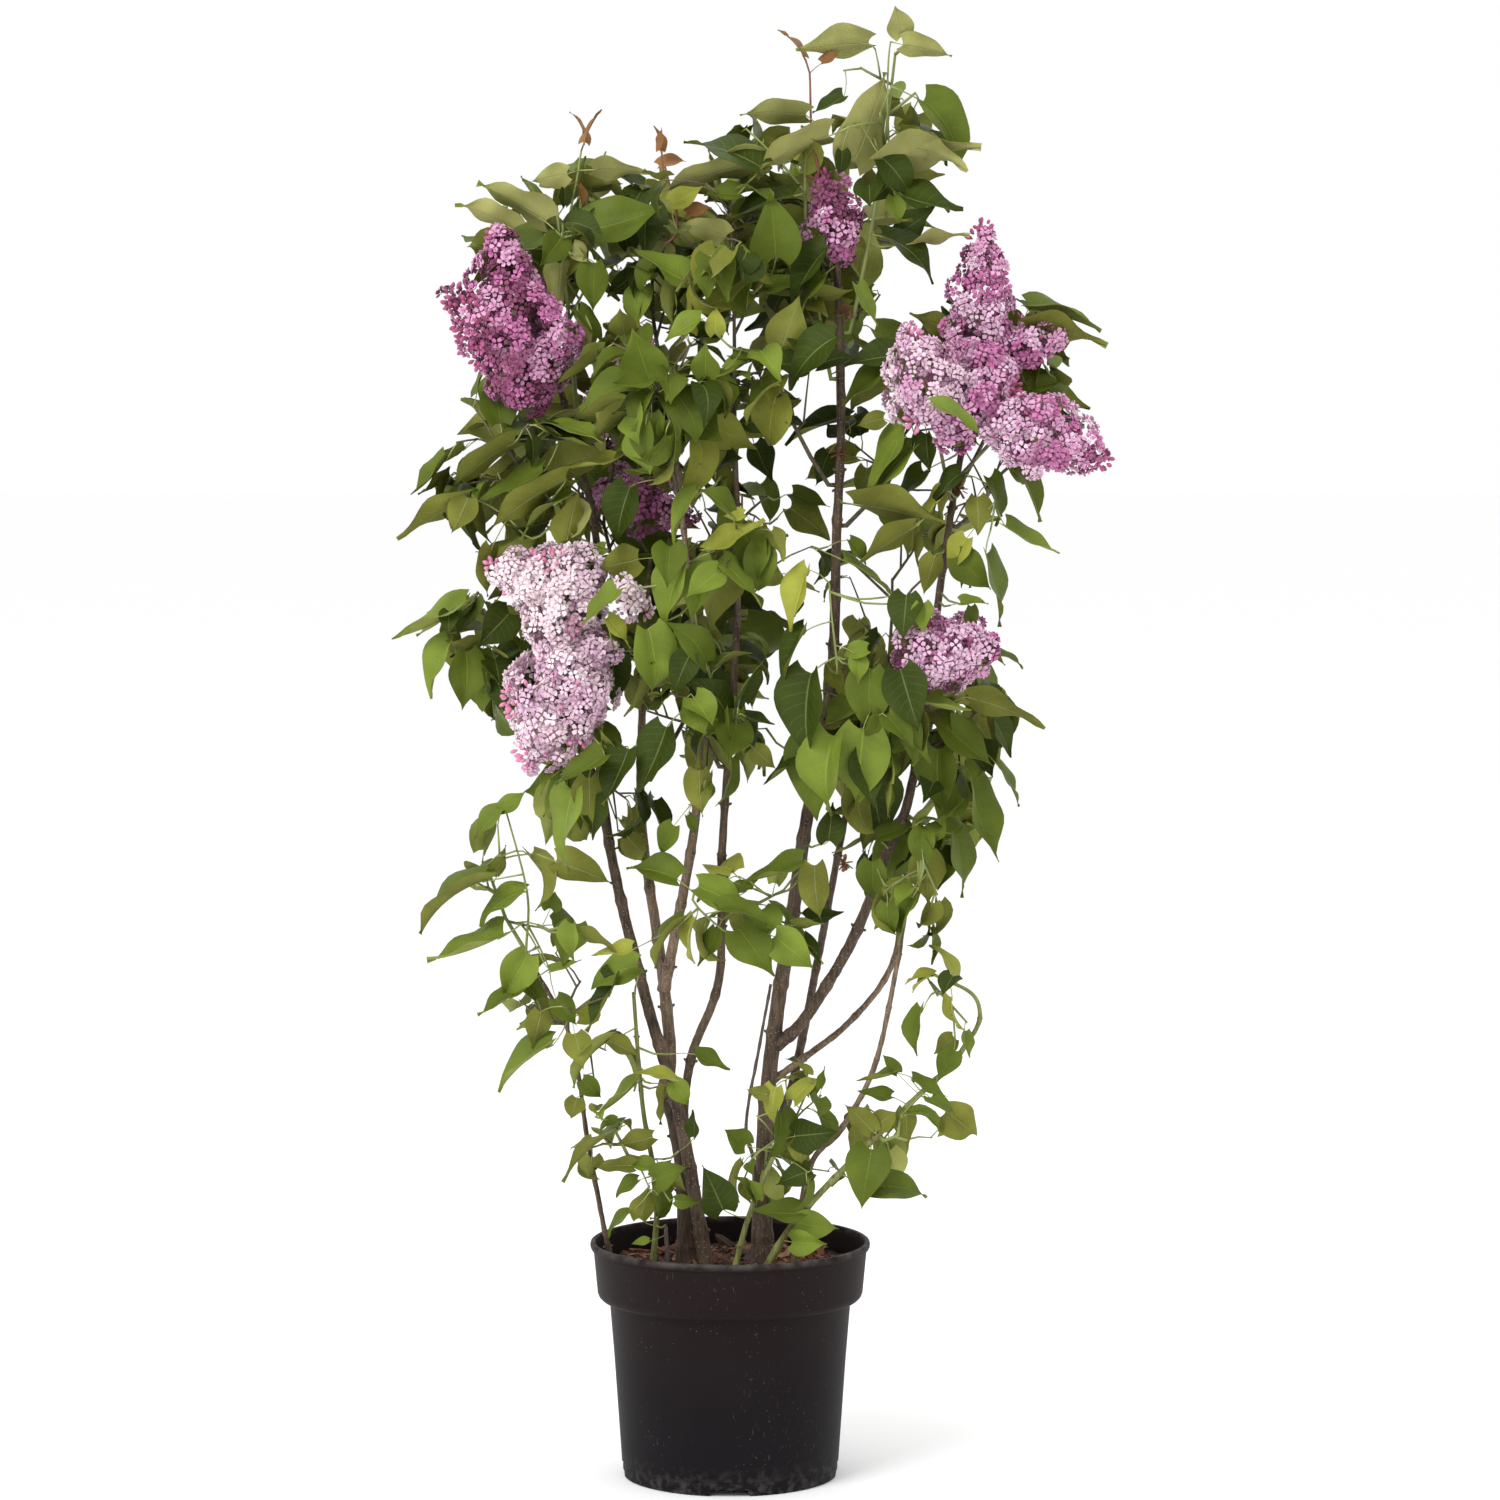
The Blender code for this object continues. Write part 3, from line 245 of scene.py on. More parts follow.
# A mass leaves its limb at a height or at the tip, and fills the space round its centre
MASSES = (
    Mass("leaves_top_right", "stem_right", 1.15,
         (0.16, 1.385, -0.01), (0.112, 0.125, 0.132), 6, 0.104, 0.1),
    Mass("leaves_top_shoot", "stem_right", 1.105,
         (0.064, 1.36, -0.02), (0.095, 0.11, 0.112), 4, 0.09, 0.05),
    Mass("leaves_top_back", "stem_right", 1.04,
         (0.105, 1.225, 0.13), (0.14, 0.11, 0.12), 5, 0.095, 0.4),
    Mass("leaves_top_centre", "bough_centre", "tip",
         (0.004, 1.245, -0.04), (0.105, 0.13, 0.125), 5, 0.094, 0.4),
    Mass("leaves_top_middle", "bough_left_rising", "tip",
         (-0.085, 1.235, 0.04), (0.095, 0.13, 0.12), 5, 0.09, 0.4),
    Mass("leaves_top_left", "stem_left", 1.06,
         (-0.165, 1.25, 0.01), (0.112, 0.12, 0.13), 5, 0.09, 0.35),
    Mass("leaves_left_upper", "stem_left", 0.99,
         (-0.222, 1.02, -0.03), (0.128, 0.12, 0.11), 6, 0.1, 0.6),
    Mass("leaves_left_back", "bough_left_inner", 0.84,
         (-0.14, 1.03, 0.165), (0.14, 0.11, 0.15), 6, 0.096, 0.6),
    Mass("leaves_left_middle", "stem_left", 0.775,
         (-0.225, 0.83, 0.06), (0.112, 0.12, 0.115), 5, 0.094, 0.8),
    Mass("leaves_left_low", "stem_left", 0.7,
         (-0.14, 0.72, -0.02), (0.11, 0.12, 0.11), 5, 0.09, 0.95),
    Mass("leaves_centre_upper", "bough_left_rising", 0.985,
         (-0.07, 1.09, -0.08), (0.115, 0.105, 0.125), 5, 0.088, 0.5),
    Mass("leaves_centre_right", "stem_right", 1.0,
         (0.045, 1.105, -0.05), (0.085, 0.12, 0.125), 4, 0.092, 0.55),
    Mass("leaves_centre", "bough_centre", 0.88,
         (0.01, 0.955, -0.06), (0.115, 0.12, 0.115), 5, 0.092, 0.7),
    Mass("leaves_centre_low", "bough_centre", 0.72,
         (-0.04, 0.785, -0.06), (0.11, 0.12, 0.11), 5, 0.094, 0.9),
    Mass("leaves_centre_back", "bough_left_inner", 0.7,
         (-0.01, 0.86, 0.14), (0.125, 0.12, 0.15), 5, 0.096, 0.7),
    Mass("leaves_right_upper", "stem_right", 0.96,
         (0.175, 1.03, 0.01), (0.09, 0.125, 0.12), 4, 0.094, 0.7),
    Mass("leaves_right_outer", "bough_right_outer", 0.96,
         (0.255, 0.985, 0.0), (0.082, 0.12, 0.115), 4, 0.092, 0.8),
    Mass("leaves_right_behind", "bough_right_outer", 1.0,
         (0.278, 1.11, 0.07), (0.11, 0.11, 0.085), 4, 0.092, 0.35),
    Mass("leaves_right_back", "bough_right_inner", 0.72,
         (0.17, 0.89, 0.14), (0.13, 0.12, 0.15), 6, 0.096, 0.7),
    Mass("leaves_right_front", "stem_right", 0.83,
         (0.13, 0.765, -0.09), (0.105, 0.11, 0.13), 5, 0.112, 1.2),
    Mass("leaves_right_middle", "bough_right_outer", 0.74,
         (0.235, 0.765, -0.01), (0.092, 0.12, 0.11), 5, 0.094, 0.9),
    Mass("leaves_right_low", "bough_right_low", "tip",
         (0.21, 0.65, 0.03), (0.098, 0.11, 0.09), 4, 0.086, 1.0),
    Mass("leaves_centre_lower", "bough_centre", 0.585,
         (0.025, 0.575, -0.06), (0.095, 0.08, 0.07), 3, 0.074, 0.6),
    Mass("leaves_thin_stem", "stem_right_thin", "tip",
         (0.19, 0.59, -0.105), (0.06, 0.065, 0.085), 3, 0.07, 1.0),
    Mass("leaves_sucker_top", "sucker_left", "tip",
         (-0.235, 0.59, -0.03), (0.105, 0.09, 0.125), 3, 0.088, 0.5),
    Mass("leaves_sucker", "sucker_left", 0.43,
         (-0.165, 0.46, -0.03), (0.098, 0.095, 0.12), 4, 0.084, 0.7),
    Mass("leaves_shoot_left", "shoot_left", 0.33,
         (-0.11, 0.33, -0.07), (0.085, 0.075, 0.095), 3, 0.06, 0.6),
    Mass("leaves_foot_right", "shoot_centre", "tip",
         (0.045, 0.325, -0.08), (0.085, 0.08, 0.1), 4, 0.07, 0.6),
    Mass("leaves_shoot_right", "shoot_right", 0.36,
         (0.175, 0.35, -0.1), (0.085, 0.08, 0.08), 3, 0.078, 0.7),
    Mass("leaves_hook", "shoot_right_hook", "tip",
         (0.215, 0.48, -0.085), (0.06, 0.06, 0.08), 3, 0.064, 0.6),
)

# Twigs are brown where their tone is 0
GREEN, RED = 1, 2
# Young shoots that stand out of the crown, seen across and up in millimetres from foot to tip
SHOOTS = (
    Shoot(RED, -0.030, ((88, 1305), (81, 1346), (79, 1406), (75, 1419), (72, 1424))),
    Shoot(GREEN, -0.020, ((163, 1310), (156, 1377), (157, 1420), (159, 1437))),
    Shoot(RED, -0.020, ((-54, 1245), (-53, 1270), (-62, 1305), (-68, 1330))),
    Shoot(GREEN, -0.020, ((-167, 1222), (-165, 1241), (-159, 1266), (-152, 1299), (-147, 1330), (-144, 1338))),
    Shoot(GREEN, -0.050, ((-197, 945), (-221, 966), (-244, 981), (-259, 986))),
    Shoot(GREEN, -0.110, ((-30, 835), (-35, 870), (-40, 892), (-45, 920))),
    Shoot(GREEN, -0.120, ((107, 811), (101, 872), (99, 901))),
    Shoot(GREEN, -0.040, ((-204, 530), (-202, 574), (-207, 609), (-224, 672))),
    Shoot(GREEN, -0.100, ((-36, 590), (-32, 575), (0, 548), (9, 553))),
)

# Leaves that stand in front: each is seen from its foot (across, up) to its tip (across, up) in millimetres, with
# its seen width, which is below zero where its underside shows, and its tint
SPRAYS = (
    Spray(-0.030, (
        (73, 1422, 55, 1455, 9, "bronze"), (91, 1416, 111, 1425, 9, "bronze"), (137, 1435, 65, 1433, -26, "olive"),
        (171, 1442, 163, 1474, -25, "olive"), (171, 1434, 220, 1425, -25, "olive"),
        (123, 1319, 161, 1405, -45, "olive"), (113, 1383, 84, 1362, 16, "deep"))),
    Spray(-0.045, (
        (150, 1319, 246, 1348, -30, "olive"), (191, 1378, 252, 1330, 28, "mid"),
        (179, 1333, 240, 1322, -20, "olive"), (151, 1322, 191, 1288, 30, "deep"),
        (98, 1344, 11, 1320, -28, "olive"), (75, 1365, 10, 1375, -22, "olive"),
        (163, 1287, 228, 1259, 20, "deep"), (163, 1285, 168, 1258, 20, "fresh"),
        (151, 1245, 220, 1222, 16, "deep"), (185, 1239, 236, 1255, -10, "olive"),
        (111, 1330, 112, 1302, 17, "deep"), (138, 1296, 140, 1268, 30, "deep"))),
    Spray(-0.050, (
        (-68, 1330, -72, 1355, 5, "bronze"), (-68, 1330, -63, 1353, 5, "bronze"),
        (-70, 1315, -44, 1329, 12, "bronze"), (-42, 1268, -19, 1279, 12, "bronze"),
        (29, 1314, -41, 1355, 34, "deep"), (27, 1317, -75, 1302, -30, "olive"),
        (-57, 1277, -24, 1292, 20, "young"), (-4, 1245, -50, 1263, -26, "olive"),
        (10, 1285, -26, 1293, 17, "mid"), (63, 1285, -23, 1269, 24, "deep"), (46, 1225, 40, 1283, 50, "mid"),
        (-42, 1199, -100, 1225, 30, "fresh"), (98, 1233, 48, 1183, 25, "deep"), (92, 1206, 52, 1164, 20, "mid"))),
    Spray(-0.110, (
        (-80, 1103, -99, 1160, 45, "fresh"), (-24, 1108, -24, 1138, 28, "fresh"),
        (-28, 1163, -67, 1145, 16, "fresh"), (-14, 1149, -14, 1175, 20, "young"), (48, 1099, 1, 1072, 16, "mid"),
        (105, 1145, 40, 1110, 28, "deep"), (125, 1197, 140, 1153, 16, "fresh"))),
    Spray(-0.030, (
        (-144, 1338, -145, 1373, 8, "bronze"), (-144, 1338, -131, 1373, 8, "bronze"),
        (-135, 1311, -79, 1315, -22, "olive"), (-161, 1307, -197, 1300, -24, "olive"),
        (-164, 1293, -160, 1271, 12, "deep"), (-183, 1260, -248, 1301, -30, "olive"),
        (-215, 1252, -267, 1288, -24, "olive"), (-167, 1244, -187, 1218, 30, "mid"),
        (-167, 1218, -174, 1163, -24, "olive"), (-156, 1237, -140, 1218, -18, "olive"),
        (-134, 1219, -138, 1171, 30, "mid"), (-140, 1250, -60, 1266, 40, "mid"),
        (-150, 1295, -138, 1275, 6, "bronze"), (-151, 1172, -119, 1135, 20, "mid"))),
    Spray(-0.055, (
        (-214, 1041, -292, 1005, -18, "deep"), (-197, 1045, -192, 1016, 15, "deep"),
        (-185, 1012, -244, 972, 16, "mid"), (-163, 1005, -251, 965, -22, "deep"),
        (-259, 986, -334, 950, -14, "deep"), (-261, 986, -278, 950, -28, "deep"),
        (-252, 986, -244, 1005, 8, "fresh"), (-159, 989, -221, 959, 12, "fresh"),
        (-162, 944, -155, 994, -30, "deep"), (-115, 1023, -159, 1008, 14, "young"),
        (-99, 997, -121, 940, 35, "deep"), (-91, 925, -131, 916, -34, "deep"),
        (-124, 935, -157, 922, 14, "fresh"), (-237, 937, -252, 889, -18, "deep"))),
    Spray(-0.030, (
        (-261, 879, -330, 831, 20, "fresh"), (-280, 873, -281, 855, 20, "deep"),
        (-220, 871, -250, 840, 38, "deep"), (-278, 842, -313, 790, 22, "fresh"),
        (-264, 832, -258, 771, 34, "mid"), (-243, 813, -243, 782, 12, "deep"),
        (-117, 835, -117, 775, 36, "deep"))),
    Spray(-0.125, (
        (-111, 894, -142, 854, 20, "fresh"), (-123, 866, -96, 838, 18, "young"), (-46, 919, -78, 857, 30, "fresh"),
        (-60, 937, -62, 905, 34, "mid"), (-21, 931, 41, 953, 14, "young"), (-8, 922, 36, 883, 24, "fresh"),
        (-82, 855, -62, 785, 42, "fresh"), (-40, 830, -60, 787, 30, "deep"), (14, 970, -7, 969, 12, "young"),
        (-31, 990, -69, 947, 14, "fresh"), (80, 914, 53, 855, 18, "young"), (77, 854, 39, 803, 14, "deep"),
        (41, 953, 59, 925, -14, "deep"))),
    Spray(-0.100, (
        (-125, 728, -170, 692, 24, "mid"), (-101, 735, -120, 675, 32, "deep"), (-141, 706, -142, 650, -28, "deep"),
        (-156, 693, -183, 610, 36, "fresh"), (-63, 757, -83, 687, 34, "deep"), (-22, 754, -44, 711, 14, "deep"),
        (-31, 713, -32, 666, -28, "deep"), (6, 759, -4, 719, 38, "mid"), (24, 735, 46, 715, -20, "deep"),
        (68, 727, 39, 693, 12, "deep"), (0, 725, 7, 673, 10, "mid"), (-56, 658, -76, 627, 22, "mid"),
        (-43, 668, -31, 644, 12, "mid"))),
    Spray(-0.105, (
        (-53, 604, -105, 627, 32, "mid"), (-32, 596, 28, 572, 34, "fresh"), (-10, 572, 43, 576, 12, "mid"),
        (-34, 564, -54, 520, 14, "young"), (-46, 562, -94, 528, 12, "mid"), (9, 553, 42, 509, 42, "mid"),
        (45, 546, 83, 515, 36, "fresh"), (74, 620, 16, 590, 22, "mid"), (85, 618, 82, 561, -28, "deep"),
        (85, 751, 78, 661, 42, "mid"), (-158, 559, -164, 520, 20, "fresh"), (-153, 550, -110, 539, -10, "deep"),
        (-98, 533, -138, 520, 16, "young"))),
    Spray(-0.020, (
        (219, 1154, 177, 1166, -20, "deep"), (296, 1173, 371, 1161, 14, "mid"),
        (293, 1158, 377, 1150, -22, "deep"), (299, 1094, 330, 1106, 18, "mid"))),
    Spray(-0.070, (
        (278, 1027, 316, 965, 28, "mid"), (258, 1006, 284, 960, 20, "mid"), (246, 987, 250, 948, -24, "deep"),
        (274, 958, 323, 921, 16, "fresh"), (236, 946, 211, 912, 24, "young"), (227, 928, 260, 895, 34, "mid"),
        (255, 930, 279, 859, 22, "mid"), (204, 928, 192, 890, -22, "deep"), (184, 957, 127, 925, -18, "deep"),
        (123, 980, 215, 967, -24, "deep"), (193, 1012, 150, 970, 22, "mid"), (182, 1035, 122, 996, 22, "fresh"),
        (175, 1058, 149, 982, 18, "fresh"), (196, 1050, 196, 1011, 20, "deep"), (230, 1010, 187, 980, 20, "deep"),
        (215, 993, 193, 953, 14, "young"), (169, 1126, 113, 1124, 20, "deep"), (161, 1112, 108, 1084, 14, "mid"),
        (153, 1065, 125, 1059, -18, "deep"), (113, 924, 168, 895, 14, "fresh"),
        (119, 944, 142, 923, 12, "mid"))),
    Spray(-0.155, (
        (202, 1079, 256, 1063, 8, "fresh"),)),
    Spray(0.045, (
        (118, 1062, 50, 1056, 14, "deep"), (98, 1030, 86, 1000, 26, "deep"), (105, 1020, 72, 1008, -20, "deep"),
        (126, 1062, 152, 1062, 18, "deep"), (60, 976, 104, 948, -30, "deep"), (62, 990, 98, 972, 20, "mid"),
        (30, 1000, 48, 960, 22, "mid"), (24, 1040, 40, 1000, 26, "deep"))),
    Spray(-0.130, (
        (140, 815, 136, 746, 42, "mid"), (170, 815, 190, 750, 44, "deep"), (104, 748, 78, 662, 46, "fresh"),
        (133, 755, 127, 670, 58, "fresh"), (82, 811, 63, 722, 44, "deep"), (176, 889, 173, 850, 34, "deep"),
        (192, 881, 194, 850, 22, "fresh"), (137, 835, 108, 830, 18, "fresh"), (128, 828, 128, 802, 20, "fresh"))),
    Spray(-0.080, (
        (209, 735, 202, 664, 42, "mid"), (215, 758, 259, 712, 34, "mid"), (238, 787, 319, 768, -26, "deep"),
        (268, 718, 295, 680, 12, "mid"), (234, 718, 261, 681, 18, "mid"), (239, 701, 254, 617, 20, "mid"),
        (226, 649, 240, 585, 28, "mid"), (197, 630, 198, 578, -34, "deep"), (149, 647, 185, 660, 20, "mid"),
        (143, 622, 141, 575, 30, "mid"), (99, 643, 102, 680, 28, "deep"), (265, 830, 298, 827, 10, "mid"),
        (240, 878, 242, 853, 13, "mid"), (230, 881, 258, 883, 12, "fresh"))),
    Spray(-0.045, (
        (-228, 673, -259, 648, 16, "fresh"), (-228, 673, -201, 690, 16, "fresh"), (-239, 603, -330, 582, 16, "mid"),
        (-174, 622, -117, 602, -33, "deep"), (-206, 591, -264, 576, 16, "fresh"),
        (-180, 575, -174, 597, 20, "mid"), (-155, 559, -168, 515, 34, "mid"),
        (-226, 547, -298, 507, 20, "fresh"))),
    Spray(-0.065, (
        (-203, 528, -230, 481, 36, "fresh"), (-207, 495, -248, 459, 20, "mid"), (-180, 511, -147, 517, 10, "fresh"),
        (-175, 484, -153, 455, 24, "mid"), (-93, 516, -151, 504, 32, "fresh"), (-113, 507, -133, 445, 19, "deep"),
        (-190, 470, -198, 432, -24, "deep"), (-178, 436, -245, 404, 18, "fresh"),
        (-156, 448, -148, 414, -27, "deep"), (-117, 442, -176, 413, 8, "fresh"),
        (-122, 441, -90, 426, -16, "deep"), (-149, 401, -128, 382, 20, "mid"),
        (-154, 383, -161, 360, -20, "deep"), (-93, 398, -128, 357, 11, "fresh"),
        (-110, 351, -183, 316, 9, "mid"))),
    Spray(-0.070, (
        (-78, 343, -118, 331, -20, "deep"), (-98, 314, -138, 316, -16, "deep"), (-79, 313, -106, 323, 14, "fresh"),
        (-76, 305, -60, 319, 18, "fresh"), (-74, 300, -44, 312, 28, "mid"), (-93, 299, -122, 289, 13, "mid"),
        (-91, 260, -83, 296, -22, "deep"), (-100, 266, -133, 251, 8, "mid"), (-82, 237, -100, 236, 7, "fresh"),
        (-57, 399, -95, 413, 8, "young"), (-57, 399, -41, 373, 22, "fresh"), (-64, 394, -72, 356, -10, "deep"),
        (-36, 427, -3, 405, 14, "mid"), (-36, 343, -33, 372, 12, "deep"))),
    Spray(-0.090, (
        (37, 386, 16, 392, -14, "deep"), (46, 394, 37, 351, 24, "young"), (64, 380, 87, 412, 20, "young"),
        (49, 368, 57, 316, 20, "mid"), (66, 344, 103, 348, 34, "deep"), (71, 344, 71, 316, -26, "deep"),
        (15, 335, -11, 354, 26, "mid"), (81, 309, 43, 295, 26, "deep"), (-7, 269, -26, 310, 38, "deep"),
        (26, 279, 12, 310, 14, "mid"), (27, 279, 22, 306, 12, "fresh"), (73, 265, 21, 261, 22, "mid"),
        (66, 255, 112, 250, 30, "fresh"), (63, 236, 91, 235, 26, "fresh"))),
    Spray(-0.095, (
        (204, 506, 173, 508, 12, "young"), (204, 506, 177, 498, 8, "young"), (225, 504, 215, 546, 8, "young"),
        (223, 485, 222, 446, 13, "young"), (225, 444, 206, 428, -20, "deep"), (225, 431, 209, 399, 24, "mid"),
        (168, 408, 155, 428, 12, "mid"), (168, 408, 129, 392, 8, "mid"), (162, 384, 127, 384, 13, "mid"),
        (182, 401, 215, 377, 9, "mid"), (217, 369, 251, 342, -36, "deep"), (143, 349, 117, 380, -22, "deep"),
        (146, 355, 171, 370, -22, "deep"), (177, 372, 177, 332, -20, "deep"), (142, 330, 134, 280, 44, "mid"),
        (141, 292, 205, 298, 34, "mid"))),
)
# The crown's edge as it is seen: how far up, and from where to where across, in millimetres
OUTLINE = (
    (250, -130, 150), (325, -165, 200), (375, -165, 245), (425, -225, 235), (475, -235, 245), (525, -285, 225),
    (575, -275, 205), (600, -285, 240), (625, -270, 250), (675, -255, 250), (725, -215, 285), (775, -260, 300),
    (825, -300, 275), (875, -290, 275), (925, -250, 300), (975, -310, 315), (1025, -285, 330), (1075, -260, 340),
    (1125, -250, 330), (1175, -255, 330), (1200, -270, 290), (1225, -275, 250), (1250, -255, 235),
    (1275, -235, 225), (1300, -205, 215), (1325, -60, 215), (1350, 10, 205), (1375, 60, 185), (1400, 95, 175),
    (1425, 110, 165),
)
# Gaps in the crown where sky is seen: across, up and radius in millimetres
SKY = (
    (99, 1395, 15), (255, 1040, 10), (290, 985, 12), (138, 1410, 18), (170, 1195, 26), (195, 1225, 18),
    (148, 1163, 9), (-118, 1175, 9),
    (-62, 1145, 8), (10, 1145, 8), (85, 1090, 17), (60, 1025, 16), (75, 990, 14), (-175, 990, 11),
    (-120, 940, 11), (67, 930, 17), (132, 955, 14), (160, 910, 16), (132, 885, 20), (230, 875, 8),
    (45, 880, 10), (90, 875, 14), (82, 825, 16), (45, 795, 12), (55, 760, 16), (-90, 760, 11), (-55, 755, 9),
    (-55, 690, 14), (27, 690, 22), (-110, 692, 12), (275, 855, 12), (20, 641, 16), (270, 915, 14),
    (-215, 720, 14), (-140, 580, 10), (175, 893, 20), (150, 863, 12), (222, 872, 12), (255, 900, 8),
    (255, 1010, 8), (180, 985, 8), (-255, 900, 14), (-90, 500, 18), (0, 450, 20), (-210, 640, 12), (-130, 640, 8),
)
# Where the crown is thin: across, up, radius and the share of its leaves that stay
THINNER = (
    (-20, 740, 130, 0.62), (215, 955, 115, 0.30), (-200, 560, 90, 0.70), (75, 960, 60, 0.70), (60, 560, 90, 0.80))
# Stems that stay in view through the crown, between these heights
BARE = (("stem_right", 0.80, 1.20), ("bough_right_outer", 0.80, 1.00), ("bough_centre", 0.74, 1.02))
# Where dry remains of old flowers cling, seen across and up in millimetres, and how far behind
REMAINS = ((5, 1045, -0.036), (108, 1030, -0.036), (228, 995, -0.030), (116, 1168, -0.030), (115, 621, -0.070))
# Depths beside a spray's own that are tried where a leaf would cut something
DEPTH_SHIFTS = (0.0, -0.007, 0.007, -0.014, 0.014, -0.021, 0.021, 0.030)

# Which wood, masses and heads take which finish
BARK_OF = {
    "trunk_left": "bark_trunk", "bough_left_inner": "bark_pale", "bough_left_rising": "bark_pale",
    "bough_right_low": "bark_pale", "stem_right_thin": "bark_pale", "bough_right_inner": "bark_dark",
    "bough_centre": "bark_grey", "stem_centre_thin": "bark_dark", "stub_dry": "bark_dark",
    "shoot_left": "bark_young", "shoot_centre": "bark_young", "shoot_right": "bark_young",
    "shoot_right_hook": "bark_young",
}
# The share of their leaves that the thinly leaved masses keep
THIN = {
    "leaves_top_right": 0.6, "leaves_top_shoot": 0.55, "leaves_sucker": 0.25, "leaves_sucker_top": 0.30,
    "leaves_shoot_left": 0.40, "leaves_foot_right": 0.40, "leaves_shoot_right": 0.35, "leaves_hook": 0.30,
    "leaves_thin_stem": 0.50, "leaves_centre_lower": 0.55, "leaves_right_outer": 0.35, "leaves_right_upper": 0.50,
    "leaves_right_back": 0.60, "leaves_centre_back": 0.65, "leaves_right_middle": 0.70, "leaves_left_low": 0.70,
    "leaves_right_low": 0.70, "leaves_centre": 0.85,
}
# Limbs whose tip swells where twigs leave it
KNOBBED = ("bough_left_rising", "bough_centre", "bough_right_outer", "stem_right_thin", "stem_right")
# Each tint's colour on top and beneath; the deep tint's dark underside is painted shade, for undersides that lie in the
# crown's shade
LEAF_TINTS = {
    "deep": ((0.034, 0.052, 0.005, 1.0), (0.180, 0.190, 0.034, 1.0)),
    "mid": ((0.091, 0.124, 0.013, 1.0), (0.205, 0.218, 0.045, 1.0)),
    "fresh": ((0.148, 0.200, 0.025, 1.0), (0.265, 0.290, 0.070, 1.0)),
    "olive": ((0.165, 0.175, 0.024, 1.0), (0.325, 0.325, 0.110, 1.0)),
    "young": ((0.290, 0.305, 0.045, 1.0), (0.390, 0.400, 0.110, 1.0)),
    "bronze": ((0.240, 0.115, 0.042, 1.0), (0.270, 0.140, 0.058, 1.0)),
}
# The share of each tint in a mass
TINTS_ELSE = (("deep", 0.32), ("mid", 0.40), ("fresh", 0.20), ("olive", 0.08))
TINTS_TOP = (("deep", 0.18), ("mid", 0.32), ("fresh", 0.18), ("olive", 0.32))
TINTS_LOW = (("deep", 0.20), ("mid", 0.50), ("fresh", 0.24), ("young", 0.06))
TINTS_YOUNG = (("deep", 0.25), ("mid", 0.40), ("fresh", 0.25), ("young", 0.10))
TINTS_OF = {
    "leaves_top_right": TINTS_TOP, "leaves_top_shoot": TINTS_TOP, "leaves_top_back": TINTS_TOP,
    "leaves_top_left": TINTS_TOP, "leaves_top_middle": TINTS_TOP, "leaves_top_centre": TINTS_TOP,
    "leaves_sucker_top": TINTS_LOW, "leaves_sucker": TINTS_LOW, "leaves_thin_stem": TINTS_LOW,
    "leaves_centre_lower": TINTS_LOW, "leaves_shoot_left": TINTS_YOUNG, "leaves_foot_right": TINTS_YOUNG,
    "leaves_shoot_right": TINTS_YOUNG, "leaves_hook": TINTS_YOUNG,
}
# Masses on young green wood
GREEN_TWIGS = (
    "leaves_top_right", "leaves_top_shoot", "leaves_top_left", "leaves_sucker_top", "leaves_shoot_left",
    "leaves_foot_right", "leaves_shoot_right", "leaves_hook", "leaves_thin_stem", "leaves_centre_lower")
# Each tint's colour on a petal's face and back; the darker back is painted shade on the undersides of the petals
PETALS = {
    "plum": ((0.50, 0.150, 0.340, 1.0), (0.26, 0.055, 0.150, 1.0)),
    "plum_deep": ((0.240, 0.048, 0.130, 1.0), (0.15, 0.028, 0.070, 1.0)),
    "mauve": ((0.62, 0.310, 0.490, 1.0), (0.39, 0.145, 0.260, 1.0)),
    "lilac": ((0.68, 0.450, 0.590, 1.0), (0.48, 0.270, 0.370, 1.0)),
    "blush": ((0.74, 0.550, 0.640, 1.0), (0.58, 0.380, 0.460, 1.0)),
    "white": ((0.85, 0.700, 0.750, 1.0), (0.73, 0.550, 0.600, 1.0)),
    "bud_plum": ((0.36, 0.060, 0.170, 1.0), (0.36, 0.060, 0.170, 1.0)),
    "bud_pink": ((0.66, 0.220, 0.380, 1.0), (0.66, 0.220, 0.380, 1.0)),
}
# Each head's light, middle and dark florets, and its buds; the dark florets also paint the shade in the hollows and in
# the inner layer
PALETTES = {
    "plum": ("mauve", "plum", "plum_deep", "bud_plum"),
    "lilac": ("lilac", "mauve", "plum", "bud_plum"),
    "pale": ("blush", "lilac", "mauve", "bud_pink"),
    "pink": ("lilac", "mauve", "plum", "bud_plum"),
    "white": ("white", "white", "blush", "bud_pink"),
    "blush": ("white", "blush", "lilac", "bud_pink"),
}
# The share of buds on a branch of a head, where it isn't small
BUDDY = {("flowers_left_top", 1): 0.40, ("flowers_left_hanging", 0): 0.06}
# Each bark's colours, how far its pores show, and its relief in the finish and in the shape
Bark = namedtuple("Bark", "dark light pore pores relief lumps")
BARKS = {
    "bark_trunk": Bark((0.022, 0.011, 0.006), (0.105, 0.060, 0.034), (0.15, 0.10, 0.07), 0.2, 0.0010, 0.00045),
    "bark_grey": Bark((0.036, 0.021, 0.012), (0.140, 0.092, 0.056), (0.29, 0.225, 0.16), 1.0, 0.0006, 0.00045),
    "bark_pale": Bark((0.085, 0.052, 0.030), (0.270, 0.190, 0.125), (0.44, 0.36, 0.28), 1.0, 0.0006, 0.00045),
    "bark_dark": Bark((0.040, 0.026, 0.018), (0.130, 0.090, 0.066), (0.26, 0.20, 0.16), 1.0, 0.0006, 0.00045),
    "bark_young": Bark((0.100, 0.090, 0.022), (0.240, 0.270, 0.070), (0.34, 0.34, 0.16), 0.5, 0.0003, 0.00012),
}
TWIG_BARK = Bark((0.060, 0.045, 0.024), (0.170, 0.140, 0.080), (0.30, 0.26, 0.18), 0.5, 0.0002, 0.0)
